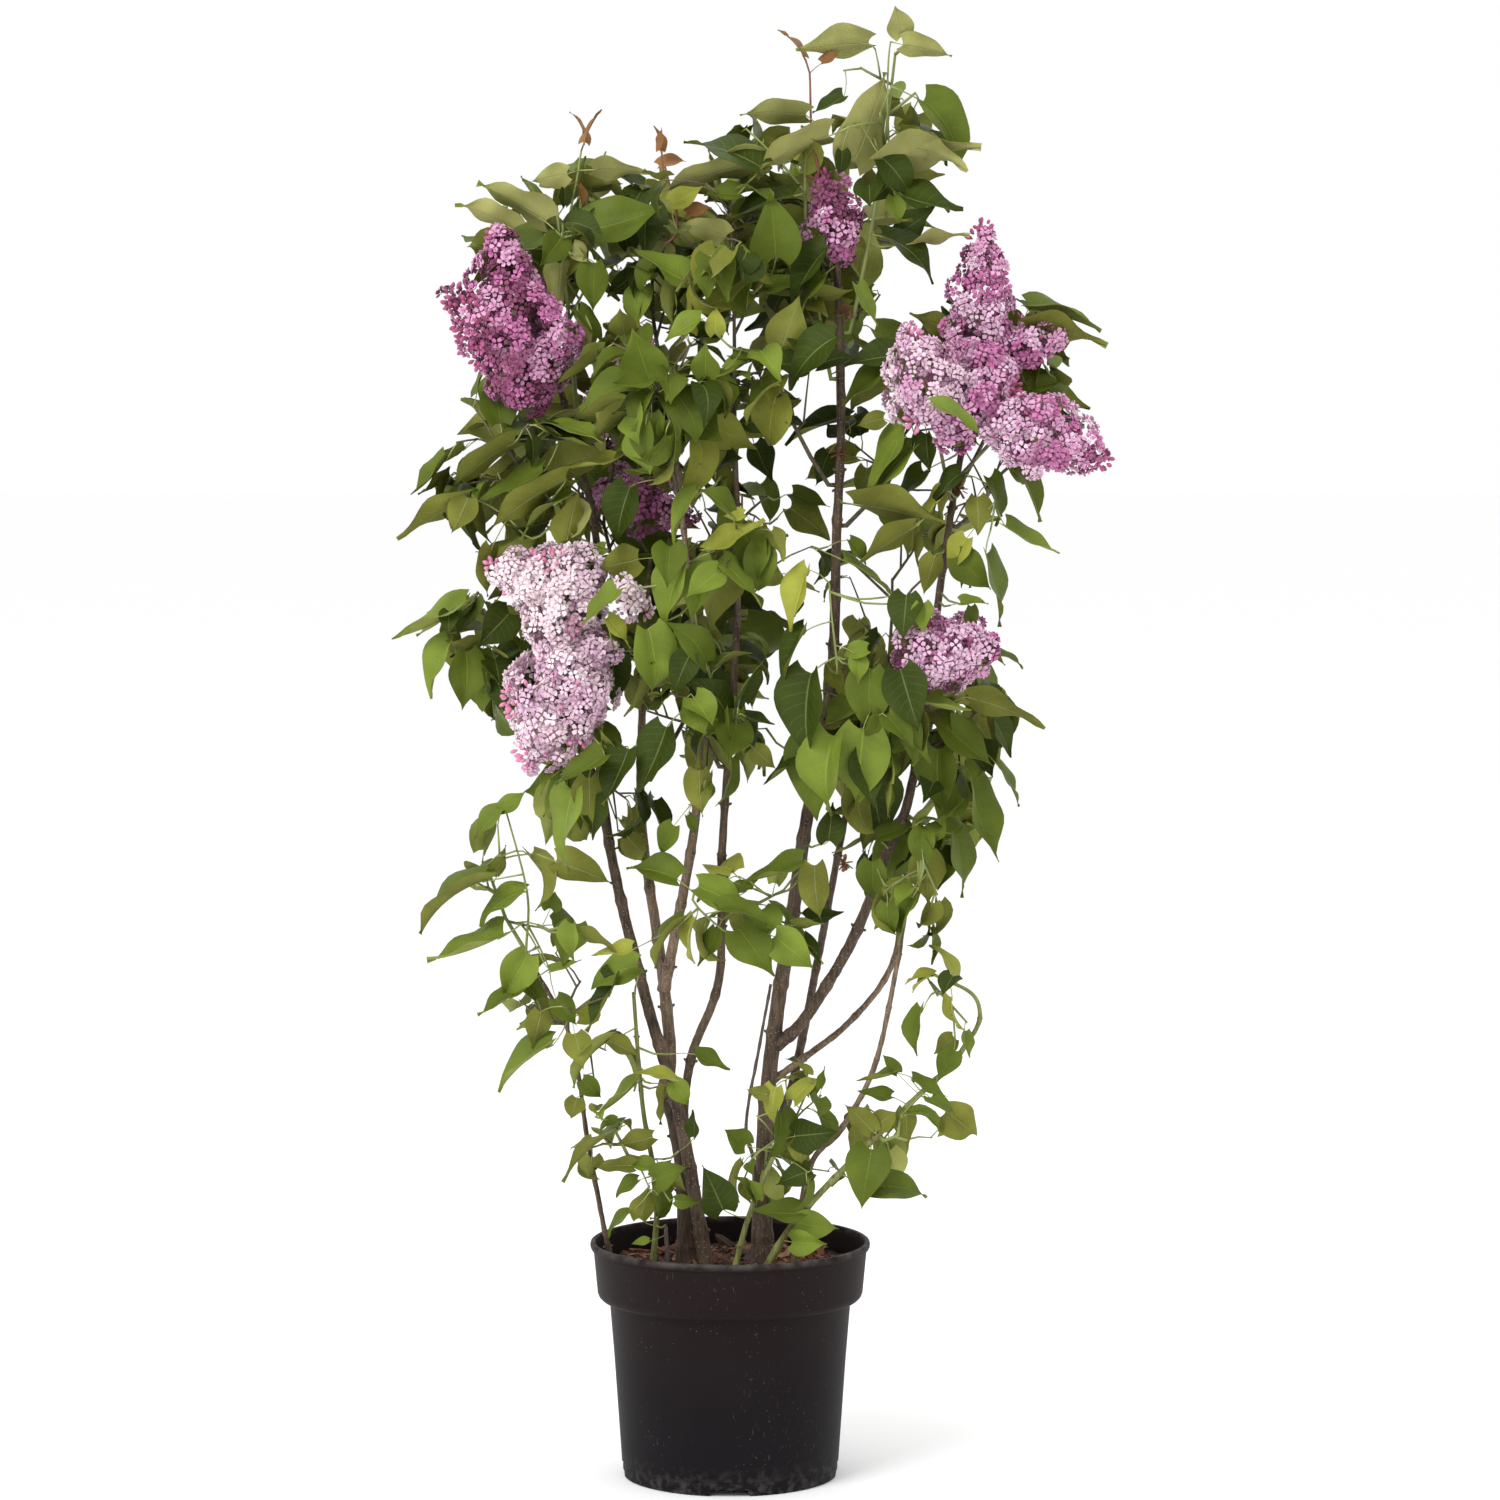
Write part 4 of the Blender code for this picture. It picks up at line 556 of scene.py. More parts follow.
VEIN = (0.30, 0.34, 0.12, 1.0)
UNDER_VEIN = (0.36, 0.40, 0.20, 1.0)
# The dark and light tones of the plain finishes
STALK_GREEN = ((0.20, 0.24, 0.06), (0.33, 0.36, 0.11))
STALK_RED = ((0.14, 0.04, 0.03), (0.22, 0.08, 0.05))
TWIG_GREEN = ((0.15, 0.19, 0.04), (0.26, 0.30, 0.09))
FLOWER_STALK = ((0.10, 0.07, 0.04), (0.22, 0.22, 0.08))
BUD_SCALE = ((0.07, 0.04, 0.02), (0.16, 0.10, 0.05))
DRY_FLOWER = ((0.085, 0.032, 0.014), (0.220, 0.100, 0.045))
COMPOST = ((0.020, 0.009, 0.006), (0.085, 0.036, 0.020))
CHIPS = {
    "chips_red": ((0.105, 0.036, 0.018), (0.220, 0.085, 0.045)),
    "chips_dark": ((0.018, 0.010, 0.007), (0.060, 0.030, 0.020)),
    "chips_tan": ((0.200, 0.110, 0.060), (0.340, 0.210, 0.120)),
}
CHIP_SHARES = (0.52, 0.34, 0.14)
PLASTIC = (0.0042, 0.0030, 0.0044, 1.0)
# Painted light: the plastic up at the band, lighter than lower down because light falls from above
PLASTIC_LIT_TOP = (0.0101, 0.0043, 0.0042, 1.0)
PLASTIC_CLOUD = (0.0095, 0.0080, 0.0085, 1.0)
PLASTIC_WORN = (0.22, 0.20, 0.18, 1.0)

# Sizes of the fine growth
MM_PER_M = 1000
POT_STEPS = 96
SOIL_STEPS = 128
SOIL_RINGS = 44
SOIL_DEPTH = 0.030
MIDDLE_HOLE = 0.004
CHIP_COUNT = 900
LIMB_SIDES = 14
THIN_SIDES = 6
BARK_STEP = 0.0032
NODE_SPACING = 0.062
NODE_LENGTH = 0.0042
NODE_SWELL = 0.16
KNOB_LENGTH = 0.006
KNOB_SWELL = 0.35
COLLAR = 0.45
COLLAR_LENGTH = 0.012
FURROWS = (520.0, 42.0)
LUMPS = (160.0, 70.0)
SPRIGS = 4
SPRIG_LENGTH = (0.030, 0.062)
SPRIG_REACH = 0.90
LEAF_SPACING = 0.023
LEAF_SPREAD = (0.66, 1.12)
LEAF_TRIES = 8
END_LEAF = 0.80
# A blade in shares of its length, from the foot to the tip
BLADE_SHARE = 0.84
BLADE_WIDTH = 0.66
BLADE_WIDEST = 0.72
BLADE_SHOULDER = 0.27
BLADE_FOOT = 0.48
BLADE_LOBE = 0.11
BLADE_CREASE = 0.0003
BLADE_RIPPLES = 10.0
BLADE_THICK = 0.007
ROW_BUNCH = 0.28
# Stalks, and the small twigs that leaves placed in front grow for themselves
STALK_SHARE = 0.28
STALK_SPREAD = (0.8, 1.3)
STALK_OUT = 0.55
STALK_ON = 0.45
STALK_UNDER = 0.10
STALK_RADIUS = 0.00085
STALK_LEAF = 0.075
STALK_TAPER = 0.45
STALK_REACH = 0.034
OWN_STALK = 0.022
OWN_TWIG_FOOT = 0.0013
OWN_TWIG_TAPER = 0.0004
SHOOT_FOOT = 0.62
SHOOT_TIP = 0.0009
ANCHOR_STEP = 0.008
ANCHOR_LOOK = 0.012
# The room that leaves keep
OWN_REACH = 1.12
EDGE_CLEAR = 0.004
BOX_CLEAR = 0.003
LIP_CLEAR = 0.020
NEAR_LEAF = 1.1
SHOWN_SHARE = 0.30
# Millimetres for each metre of a leaf's length
SKY_CLEAR = 340
BARE_REACH = -0.008
SHOWN_RADIUS = 0.75
SOLID_RADIUS = 0.94
# Florets, in small domes over each flower head
PETAL = (0.0056, 0.0046)
INNER_PETAL = (0.0040, 0.0036)
INNER_LIFT = 0.0006
PETAL_START = 0.10
PETAL_THICK = 0.09
FLORET_SPACING = 0.0088
CLUSTER_RADIUS = 0.0115
CLUSTER_SPACING = 0.0238
CLUSTER_FLORETS = 6
CLUSTER_SPREAD = (0.72, 1.25)
FLORET_SIZES = (1.16, 1.46)
BUD_SIZES = (1.1, 1.4)
INNER_SIZES = (1.3, 1.6)
PANICLE_STEPS = 60
PANICLE_THIN = 0.7
PANICLE_TIP = 0.3
PANICLE_LEAST = 0.15
HEAD_WIRE = (0.0017, 0.0012, 0.0006)
HEAD_ARM = (0.0018, 0.0015, 0.0012)
SEED_WORDS = "lilac"


# Helpers for making shapes

def read(items, field, width, kind=np.float32):
    values = np.empty(len(items) * width, kind)
    items.foreach_get(field, values)
    return values.reshape(-1, width) if width > 1 else values


def deselect():
    bpy.ops.object.select_all(action="DESELECT")


def only(thing):
    """Selects one object alone and makes it the active one."""
    deselect()
    thing.select_set(True)
    bpy.context.view_layer.objects.active = thing


def edit(thing, *steps):
    """Runs edit-mode steps on the whole of one object."""
    only(thing)
    bpy.ops.object.mode_set(mode="EDIT")
    bpy.ops.mesh.select_all(action="SELECT")
    for step in steps:
        step()
    bpy.ops.object.mode_set(mode="OBJECT")


def weld(distance=1e-5):
    return lambda: bpy.ops.mesh.remove_doubles(threshold=distance)


def face_out():
    bpy.ops.mesh.normals_make_consistent(inside=False)


def apply_modifier(thing, kind, **settings):
    only(thing)
    modifier = thing.modifiers.new(kind.lower(), kind)
    for field, value in settings.items():
        setattr(modifier, field, value)
    bpy.ops.object.modifier_apply(modifier=modifier.name)


class Pattern:
    """A shape that is modelled once and then copied: its points, faces, map and finish numbers."""

    def __init__(self, thing=None, parts=()):
        if thing:
            mesh = thing.data
            self.points = read(mesh.vertices, "co", 3)
            self.corners = read(mesh.loops, "vertex_index", 1, np.int32)
            self.sizes = read(mesh.polygons, "loop_total", 1, np.int32)
            self.finish = read(mesh.polygons, "material_index", 1, np.int32)
            maps = mesh.uv_layers.active
            self.map = read(maps.data, "uv", 2) if maps else np.zeros((len(mesh.loops), 2), np.float32)
            bpy.data.objects.remove(thing, do_unlink=True)
        else:
            pile = Pile()
            for pattern, turn, spot in parts:
                pile.add(pattern, turn, spot)
            self.points, self.corners, self.sizes, self.finish, self.map = pile.arrays()


class Pile:
    """Many copies of patterns, joined into one mesh."""

    def __init__(self):
        self.copies = []
        self.count = 0

    def add(self, pattern, turn, spot):
        points = pattern.points @ np.array(turn, np.float32).T + np.array(spot, np.float32)
        self.copies.append((points, pattern.corners + self.count, pattern))
        self.count += len(points)

    def arrays(self):
        return (
            np.concatenate([points for points, _, _ in self.copies]),
            np.concatenate([corners for _, corners, _ in self.copies]),
            np.concatenate([pattern.sizes for _, _, pattern in self.copies]),
            np.concatenate([pattern.finish for _, _, pattern in self.copies]),
            np.concatenate([pattern.map for _, _, pattern in self.copies]),
        )

    def build(self, name, finishes, sharp=60.0):
        points, corners, sizes, finish, spread = self.arrays()
        mesh = bpy.data.meshes.new(name)
        mesh.vertices.add(len(points))
        mesh.vertices.foreach_set("co", points.ravel())
        mesh.loops.add(len(corners))
        mesh.loops.foreach_set("vertex_index", corners)
        mesh.polygons.add(len(sizes))
        mesh.polygons.foreach_set("loop_start", np.concatenate([[0], np.cumsum(sizes)[:-1]]).astype(np.int32))
        mesh.uv_layers.new(name="spread").data.foreach_set("uv", spread.ravel())
        for one in finishes:
            mesh.materials.append(one)
        mesh.polygons.foreach_set("material_index", finish)
        mesh.update(calc_edges=True)
        mesh.shade_smooth()
        mesh.set_sharp_from_angle(angle=math.radians(sharp))
        return put(name, mesh)


def put(name, mesh):
    made = bpy.data.objects.new(name, mesh)
    bpy.context.scene.collection.objects.link(made)
    return made


def basis(aim, face):
    """The turn that points a shape's length along aim and its top along face."""
    side = face.cross(aim)
    return np.array((aim, side, face), np.float32).T


def stood_on(way):
    """The turn that stands a shape's Z along a way."""
    return way.to_track_quat("Z", "Y").to_matrix()


def sideways(along, turn):
    """A way that is square to a stem, at a turn round it."""
    return Matrix.Rotation(turn, 3, along) @ along.orthogonal().normalized()


def on_ring(around, ring=1.0, height=0.0):
    return Vector((math.cos(around) * ring, math.sin(around) * ring, height))


def wires(name, runs, sides, finishes):
    """Round stems along paths, drawn as one curve with a bevel and turned into a mesh."""
    curve = bpy.data.curves.new(name, "CURVE")
    curve.dimensions = "3D"
    curve.twist_mode = "MINIMUM"
    curve.bevel_depth = 1.0
    curve.bevel_resolution = (sides - 4) // 2
    curve.use_fill_caps = True
    for finish in finishes:
        curve.materials.append(finish)
    for path, radii, *number in runs:
        spline = curve.splines.new("POLY")
        spline.points.add(len(path) - 1)
        spline.points.foreach_set("co", [x for point in path for x in (*point, 1.0)])
        spline.points.foreach_set("radius", radii)
        spline.material_index = number[0] if number else 0
        spline.use_smooth = True
    made = put(name, curve)
    only(made)
    bpy.ops.object.convert(target="MESH")
    edit(made, weld(2e-6), face_out)
    return made


# Where everything stands

def place(seen):
    """The point behind the pot's middle that is seen from the eye at this place across and up."""
    across, up, back = seen
    ray = Vector((across, 0.0, up)) - EYE
    return EYE + ray * ((back - EYE.y) / -EYE.y)


def place_mm(across, up, back):
    """The same, with across and up in millimetres."""
    return place((across / MM_PER_M, up / MM_PER_M, back))


def smooth_path(points, step):
    """Points about a step apart on a smooth curve through these points."""
    ends = [points[0] * 2 - points[1], *points, points[-1] * 2 - points[-2]]
    path = []
    for a, b, c, d in zip(ends, ends[1:], ends[2:], ends[3:]):
        count = max(1, round((c - b).length / step))
        for i in range(count):
            t = i / count
            path.append(0.5 * (2 * b + (c - a) * t + (2 * a - 5 * b + 4 * c - d) * t ** 2
                               + (3 * b - a - 3 * c + d) * t ** 3))
    path.append(points[-1].copy())
    return path


def lengths_along(path):
    run = [0.0]
    for a, b in zip(path, path[1:]):
        run.append(run[-1] + (b - a).length)
    return run


def point_along(path, run, far):
    for i in range(len(path) - 1):
        if run[i + 1] >= far:
            return path[i].lerp(path[i + 1], (far - run[i]) / (run[i + 1] - run[i]))
    return path[-1].copy()


def point_at(line, height):
    """Where a limb's line passes a height: the point, the line's direction and its radius there."""
    path, radii = line
    for i in range(len(path) - 1):
        a, b = path[i], path[i + 1]
        if a.z <= height <= b.z:
            share = (height - a.z) / (b.z - a.z)
            return a.lerp(b, share), (b - a).normalized(), radii[i] + (radii[i + 1] - radii[i]) * share
    return path[-1], (path[-1] - path[-2]).normalized(), radii[-1]


def leave_limb(line, at, towards):
    """The first two points of a stem that grows from a limb's tip or side."""
    path = line[0]
    if at == "tip":
        along = (path[-1] - path[-2]).normalized()
        start = path[-1] + along * GAP
        return [start, start + along * LEAVE_TIP]
    point, along, radius = point_at(line, at)
    side = towards - point
    side -= along * side.dot(along)
    side.normalize()
    start = point + side * (radius + GAP)
    return [start, start + side * LEAVE_SIDE]


def limb_lines(step):
    """Each limb's smooth path and its radius at each point of it."""
    lines = {}
    for limb in LIMBS:
        points = [place(seen) for seen in limb.path]
        if limb.parent == "soil":
            points[0].z = SOIL_TOP - FOOT_DEPTH
        if limb.parent.endswith("_tip"):
            points[:1] = leave_limb(lines[limb.parent.removesuffix("_tip")], "tip", points[1])
        path = smooth_path(points, step)
        run = lengths_along(path)
        radii = []
        for point, far in zip(path, run):
            radius = limb.foot + (limb.tip - limb.foot) * far / run[-1]
            rise = max(0.0, point.z - SOIL_TOP) / FLARE_HEIGHT
            radii.append(radius * (1.0 + limb.flare * math.exp(-rise)))
        if limb.parent in lines:
            path[0], _, parent_radius = point_at(lines[limb.parent], path[0].z)
            radii[0] = min(radii[0], parent_radius * FORK_SHARE)
        lines[limb.name] = (path, radii)
    return lines


CENTRES = np.array([place(mass.centre) for mass in MASSES])
REACHES = np.array([mass.reach for mass in MASSES])


def shares(point):
    """How far a point lies from each mass's centre, in shares of that mass's reach."""
    return np.sqrt((((np.array(point) - CENTRES) / REACHES) ** 2).sum(axis=1))


def twig_at(mass, length, number):
    """How far along a mass's stem, of this length, its twig of this number stands."""
    return length * (TWIGS_FROM + (TWIGS_TO - TWIGS_FROM) * number / max(1, mass.shoots - 1))


def mass_twigs(mass, lines, rng):
    """The mass's stem, from its limb up through its space, and the twigs that branch from it."""
    centre = place(mass.centre)
    reach = Vector(mass.reach)
    start = leave_limb(lines[mass.limb], mass.at, centre)
    rise = MASS_RISE - MASS_RISE_LOSS * min(1.0, mass.droop)
    sway = [rng.uniform(-MASS_SWAY, MASS_SWAY) for _ in range(2)]
    top = centre + Vector((sway[0] * reach.x, sway[1] * reach.y, rise * reach.z))
    middle = start[1].lerp(centre, MASS_BEND) - UP * MASS_SAG * (centre - start[1]).length
    stem = smooth_path([*start, middle, top], MASS_STEM_STEP)
    run = lengths_along(stem)
    twigs = []
    for i in range(mass.shoots):
        foot = point_along(stem, run, twig_at(mass, run[-1], i))
        turn = i * GOLDEN_TURN + rng.uniform(-TWIG_SWAY, TWIG_SWAY)
        level = 2.0 * (i + 0.5) / mass.shoots - 1.0
        ring = math.sqrt(1.0 - level * level)
        aim = on_ring(turn, ring, level * TWIG_LEVEL + TWIG_LIFT)
        tip = centre + Vector(a * r for a, r in zip(aim, reach)) * rng.uniform(*TWIG_REACH)
        twigs.append((foot, tip))
    return stem, twigs


# Finishes

def finish_of(name, roughness=0.6, **sockets):
    made = bpy.data.materials.new(name)
    made.use_nodes = True
    shader = made.node_tree.nodes["Principled BSDF"]
    shader.inputs["Roughness"].default_value = roughness
    for field, value in sockets.items():
        shader.inputs[field.replace("_", " ")].default_value = value
    return made, made.node_tree, shader


def plug(tree, socket, value):
    """Links another node's output to a socket, or sets the socket's own value."""
    if isinstance(value, bpy.types.NodeSocket):
        tree.links.new(value, socket)
    else:
        socket.default_value = value


def node(tree, kind, **settings):
    """A shader node with its settings and the values of its sockets, by name or by number."""
    made = tree.nodes.new("ShaderNode" + kind)
    for field, value in settings.pop("inputs", {}).items():
        plug(tree, made.inputs[field], value)
    for field, value in settings.items():
        setattr(made, field, value)
    return made


def maths(tree, operation, *values):
    made = node(tree, "Math", operation=operation)
    for socket, value in zip(made.inputs, values):
        plug(tree, socket, value)
    return made.outputs[0]


def times(tree, first, second):
    return maths(tree, "MULTIPLY", first, second)


def blend(tree, share, first, second):
    """A colour mixed from two by a share."""
    made = node(tree, "Mix", data_type="RGBA")
    for socket, value in zip((made.inputs["Factor"], made.inputs[6], made.inputs[7]), (share, first, second)):
        plug(tree, socket, value)
    return made.outputs[2]


def shade(colour, by):
    return (*(min(1.0, c * by) for c in colour[:3]), 1.0)


def group_of(name, ins, outs):
    """An empty shader group with these sockets: (group, its input node, its output node)."""
    made = bpy.data.node_groups.new(name, "ShaderNodeTree")
    for socket, (kind, value) in ins.items():
        new = made.interface.new_socket(name=socket, in_out="INPUT", socket_type="NodeSocket" + kind)
        if value is not None:
            new.default_value = value
    for socket, kind in outs.items():
        made.interface.new_socket(name=socket, in_out="OUTPUT", socket_type="NodeSocket" + kind)
    return made, made.nodes.new("NodeGroupInput"), made.nodes.new("NodeGroupOutput")


def use(tree, group, **values):
    made = node(tree, "Group", node_tree=group)
    for field, value in values.items():
        plug(tree, made.inputs[field], value)
    return made


def bump(tree, shader, height, distance, strength=1.0):
    made = node(tree, "Bump", inputs={"Height": height, "Distance": distance, "Strength": strength})
    tree.links.new(made.outputs["Normal"], shader.inputs["Normal"])


def noise_at(tree, vector, scale, detail=3.0, roughness=0.55):
    return node(tree, "TexNoise", inputs={
        "Vector": vector, "Scale": scale, "Detail": detail, "Roughness": roughness}).outputs["Fac"]


def stretch(tree, vector, scale):
    return node(tree, "Mapping", inputs={"Vector": vector, "Scale": scale}).outputs[0]


def span(tree, value, low, high, to_low=0.0, to_high=1.0):
    return node(tree, "MapRange", inputs={
        "Value": value, "From Min": low, "From Max": high, "To Min": to_low, "To Max": to_high}).outputs[0]


def object_place(tree):
    return tree.nodes.new("ShaderNodeTexCoord").outputs["Object"]


def make_patches():
    """Slow changes of tone over a surface: Value is 0 to 1."""
    group, given, out = group_of("tone_patches", {"Scale": ("Float", 30.0)}, {"Value": "Float"})
    texture = node(group, "TexNoise", inputs={
        "Vector": object_place(group), "Scale": given.outputs["Scale"], "Detail": 2.0})
    group.links.new(span(group, texture.outputs["Fac"], low=0.3, high=0.7), out.inputs["Value"])
    return group


def make_veins():
    """Midrib, side veins and the fine net of a blade, laid out on its own map."""
    group, given, out = group_of(
        "leaf_veins",
        {"Blade": ("Color", None), "Vein": ("Color", None), "Strength": ("Float", 0.5)},
        {"Color": "Color", "Height": "Float"})
    at = node(group, "UVMap", uv_map="spread").outputs[0]
    parts = node(group, "SeparateXYZ", inputs={0: at})
    off = maths(group, "ABSOLUTE", maths(group, "SUBTRACT", parts.outputs["Y"], 0.5))
    side = times(group, off, 2.0)
    midrib = span(group, side, low=0.012, high=0.055, to_low=1.0, to_high=0.0)
    bend = times(group, maths(group, "POWER", side, 1.25), 0.20)
    gap = maths(group, "PINGPONG", maths(group, "SUBTRACT", parts.outputs["X"], bend), 0.066)
    rib = span(group, gap, low=0.0, high=0.010, to_low=1.0, to_high=0.0)
    rib = times(group, rib, span(group, side, low=0.98, high=0.55))
    net = node(group, "TexVoronoi", feature="DISTANCE_TO_EDGE", inputs={
        "Vector": stretch(group, at, (1.7, 1.0, 1.0)), "Scale": 17.0}).outputs["Distance"]
    mask = maths(group, "MAXIMUM", midrib, times(group, rib, 0.30))
    share = times(group, mask, given.outputs["Strength"])
    group.links.new(blend(group, share, given.outputs["Blade"], given.outputs["Vein"]), out.inputs["Color"])
    cells = span(group, net, low=0.0, high=0.12)
    group.links.new(maths(group, "SUBTRACT", times(group, cells, 0.35), mask), out.inputs["Height"])
    return group


def make_bark():
    """Fine long furrows, pale breathing pores and slow patches, on object coordinates."""
    group, given, out = group_of(
        "bark_grain",
        {"Dark": ("Color", None), "Light": ("Color", None), "Pore": ("Color", None), "Pores": ("Float", 1.0)},
        {"Color": "Color", "Height": "Float", "Roughness": "Float"})
    at = object_place(group)
    furrows = noise_at(group, stretch(group, at, (420.0, 420.0, 46.0)), scale=1.0, detail=4.0, roughness=0.6)
    patches = noise_at(group, at, scale=34.0)
    both = maths(group, "ADD", times(group, furrows, 0.55), times(group, patches, 0.45))
    tone = blend(group, span(group, both, low=0.38, high=0.62), given.outputs["Dark"], given.outputs["Light"])
    cells = node(group, "TexVoronoi", inputs={
        "Vector": stretch(group, at, (210.0, 210.0, 330.0)), "Scale": 1.0, "Randomness": 1.0})
    spots = span(group, cells.outputs["Distance"], low=0.13, high=0.22, to_low=1.0, to_high=0.0)
    spots = times(group, spots, given.outputs["Pores"])
    group.links.new(blend(group, spots, tone, given.outputs["Pore"]), out.inputs["Color"])
    group.links.new(maths(group, "ADD", furrows, times(group, spots, 0.5)), out.inputs["Height"])
    rough = span(group, both, low=0.3, high=0.7, to_low=0.85, to_high=0.62)
    group.links.new(rough, out.inputs["Roughness"])
    return group


PATCHES = make_patches()
VEINS = make_veins()
BARK = make_bark()


def leaf_finish(name, blade, vein, roughness, gloss, strength, relief):
    made, tree, shader = finish_of(name, roughness, Specular_IOR_Level=gloss)
    patches = use(tree, PATCHES, Scale=26.0).outputs[0]
    tone = blend(tree, patches, shade(blade, 0.80), shade(blade, 1.22))
    veins = use(tree, VEINS, Blade=tone, Vein=vein, Strength=strength)
    tree.links.new(veins.outputs["Color"], shader.inputs["Base Color"])
    bump(tree, shader, veins.outputs["Height"], relief, strength=0.7)
    return made


def leaf_finishes(tint):
    """The blade's upper side and its underside."""
    top, back = LEAF_TINTS[tint]
    vein = VEIN if tint == "deep" else shade(top, 2.2)
    return [
        leaf_finish("leaf_" + tint, top, vein, roughness=0.42, gloss=0.12, strength=0.36, relief=0.0006),
        leaf_finish("leaf_" + tint + "_under", back, UNDER_VEIN, roughness=0.75, gloss=0.06, strength=0.45,
                    relief=0.0008)]


def bark_finish(name, bark):
    made, tree, shader = finish_of(name)
    dark, light, pore = ((*colour, 1.0) for colour in (bark.dark, bark.light, bark.pore))
    grain = use(tree, BARK, Dark=dark, Light=light, Pore=pore, Pores=bark.pores)
    tree.links.new(grain.outputs["Color"], shader.inputs["Base Color"])
    tree.links.new(grain.outputs["Roughness"], shader.inputs["Roughness"])
    bump(tree, shader, grain.outputs["Height"], bark.relief)
    return made


def petal_finish(name, colour, spread):
    """Matt petals whose tone drifts a little over a few florets."""
    made, tree, shader = finish_of(name, 0.62, Sheen_Weight=0.15)
    patches = use(tree, PATCHES, Scale=110.0).outputs[0]
    tone = blend(tree, patches, shade(colour, 1.0 - spread), shade(colour, 1.0 + spread))
    tree.links.new(tone, shader.inputs["Base Color"])
    return made


def petal_finishes(tint):
    """The petal's face and its back, whose darker colour is painted shade."""
    face, back = PETALS[tint]
    return [petal_finish("petal_" + tint, face, 0.14), petal_finish("petal_" + tint + "_back", back, 0.15)]


def soft_finish(name, tones, scale, roughness, relief=0.0, grain=400.0):
    """A plain surface with patches of tone and an even fine grain."""
    made, tree, shader = finish_of(name, roughness)
    patches = use(tree, PATCHES, Scale=scale).outputs[0]
    low, high = tones
    tree.links.new(blend(tree, patches, (*low, 1.0), (*high, 1.0)), shader.inputs["Base Color"])
    if relief:
        bump(tree, shader, noise_at(tree, object_place(tree), grain), relief)
    return made


def pot_finish():
    """Matt black plastic, lighter and browner from the lower body up to the band with painted light from above, and
    with pale dust specks, fine scuffs and a worn foot and lip.
    """
    made, tree, shader = finish_of("pot_plastic", 0.6, Specular_IOR_Level=0.11)
    at = object_place(tree)
    height = node(tree, "SeparateXYZ", inputs={0: at}).outputs["Z"]
    # Painted light from above: lighter and browner from the lower body up to the band
    tone = blend(tree, span(tree, height, low=0.060, high=0.200), PLASTIC, PLASTIC_LIT_TOP)
    cloud = use(tree, PATCHES, Scale=14.0).outputs[0]
    tone = blend(tree, times(tree, cloud, 0.35), tone, PLASTIC_CLOUD)
    cells = node(tree, "TexVoronoi", inputs={"Vector": at, "Scale": 190.0}).outputs["Distance"]
    specks = span(tree, cells, low=0.07, high=0.12, to_low=1.0, to_high=0.0)
    dust = times(tree, specks, span(tree, noise_at(tree, at, scale=23.0, detail=2.0), low=0.52, high=0.66))
    hairs = noise_at(tree, stretch(tree, at, (900.0, 900.0, 60.0)), scale=1.0, detail=1.0)
    where = span(tree, noise_at(tree, at, scale=9.0, detail=1.0), low=0.50, high=0.64)
    scuffs = times(tree, span(tree, hairs, low=0.70, high=0.78), where)
    ragged = span(tree, noise_at(tree, at, scale=120.0, detail=4.0), low=0.45, high=0.62)
    foot = times(tree, span(tree, height, low=0.030, high=0.004), ragged)
    rubbed = span(tree, noise_at(tree, at, scale=60.0), low=0.35, high=0.65)
    lip = times(tree, span(tree, height, low=0.2315, high=0.2375), rubbed)
    marks = times(tree, dust, 0.50)
    for mark, share in ((scuffs, 0.35), (foot, 0.16), (lip, 0.30)):
        marks = maths(tree, "MAXIMUM", marks, times(tree, mark, share))
    tree.links.new(blend(tree, marks, tone, PLASTIC_WORN), shader.inputs["Base Color"])
    rough = span(tree, marks, low=0.0, high=0.6, to_low=0.58, to_high=0.85)
    tree.links.new(rough, shader.inputs["Roughness"])
    bump(tree, shader, noise_at(tree, at, scale=900.0, detail=2.0), 0.00012, strength=0.5)
    return made


# Patterns

def blade_width(t):
    """Half the blade's width at a share of its length, as a share of its greatest half width."""
    if t < BLADE_SHOULDER:
        return BLADE_FOOT + (1.0 - BLADE_FOOT) * math.sin(math.pi / 2 * t / BLADE_SHOULDER) ** 0.8
    return math.cos(math.pi / 2 * (t - BLADE_SHOULDER) / (1.0 - BLADE_SHOULDER)) ** 1.5


def two_finishes(thing):
    thing.data.materials.append(None)
    thing.data.materials.append(None)


def leaf_pattern(width, fold, curl, wave, twist, phase, steps):
    """A heart-shaped blade of length 1 along X with its top facing Z: a grid that is shaped, then thickened."""
    deselect()
    bpy.ops.mesh.primitive_grid_add(x_subdivisions=steps[0], y_subdivisions=steps[1], size=1.0)
    thing = bpy.context.active_object
    for vertex in thing.data.vertices:
        share = vertex.co.x + 0.5
        v = vertex.co.y * 2.0
        t = share * (1.0 - ROW_BUNCH + ROW_BUNCH * share)
        y = width / 2 * blade_width(t) * v
        x = t - BLADE_LOBE * v * v * (1.0 - t) ** 6
        z = fold * (math.sqrt(y * y + BLADE_CREASE) - y * y / width)
        z += wave * abs(v) ** 1.5 * math.sin(BLADE_RIPPLES * t + phase + 1.3 * v)
        turn = twist * t
        y, z = y * math.cos(turn) - z * math.sin(turn), y * math.sin(turn) + z * math.cos(turn)
        bend = curl * t
        flat = math.sin(bend) / curl
        drop = (1.0 - math.cos(bend)) / curl
        vertex.co = (flat + (x - t) * math.cos(bend) + z * math.sin(bend), y, z * math.cos(bend) - drop)
    two_finishes(thing)
    edit(thing, weld(2e-4))
    apply_modifier(thing, "SOLIDIFY", thickness=BLADE_THICK, offset=-1.0, material_offset=1)
    return Pattern(thing)


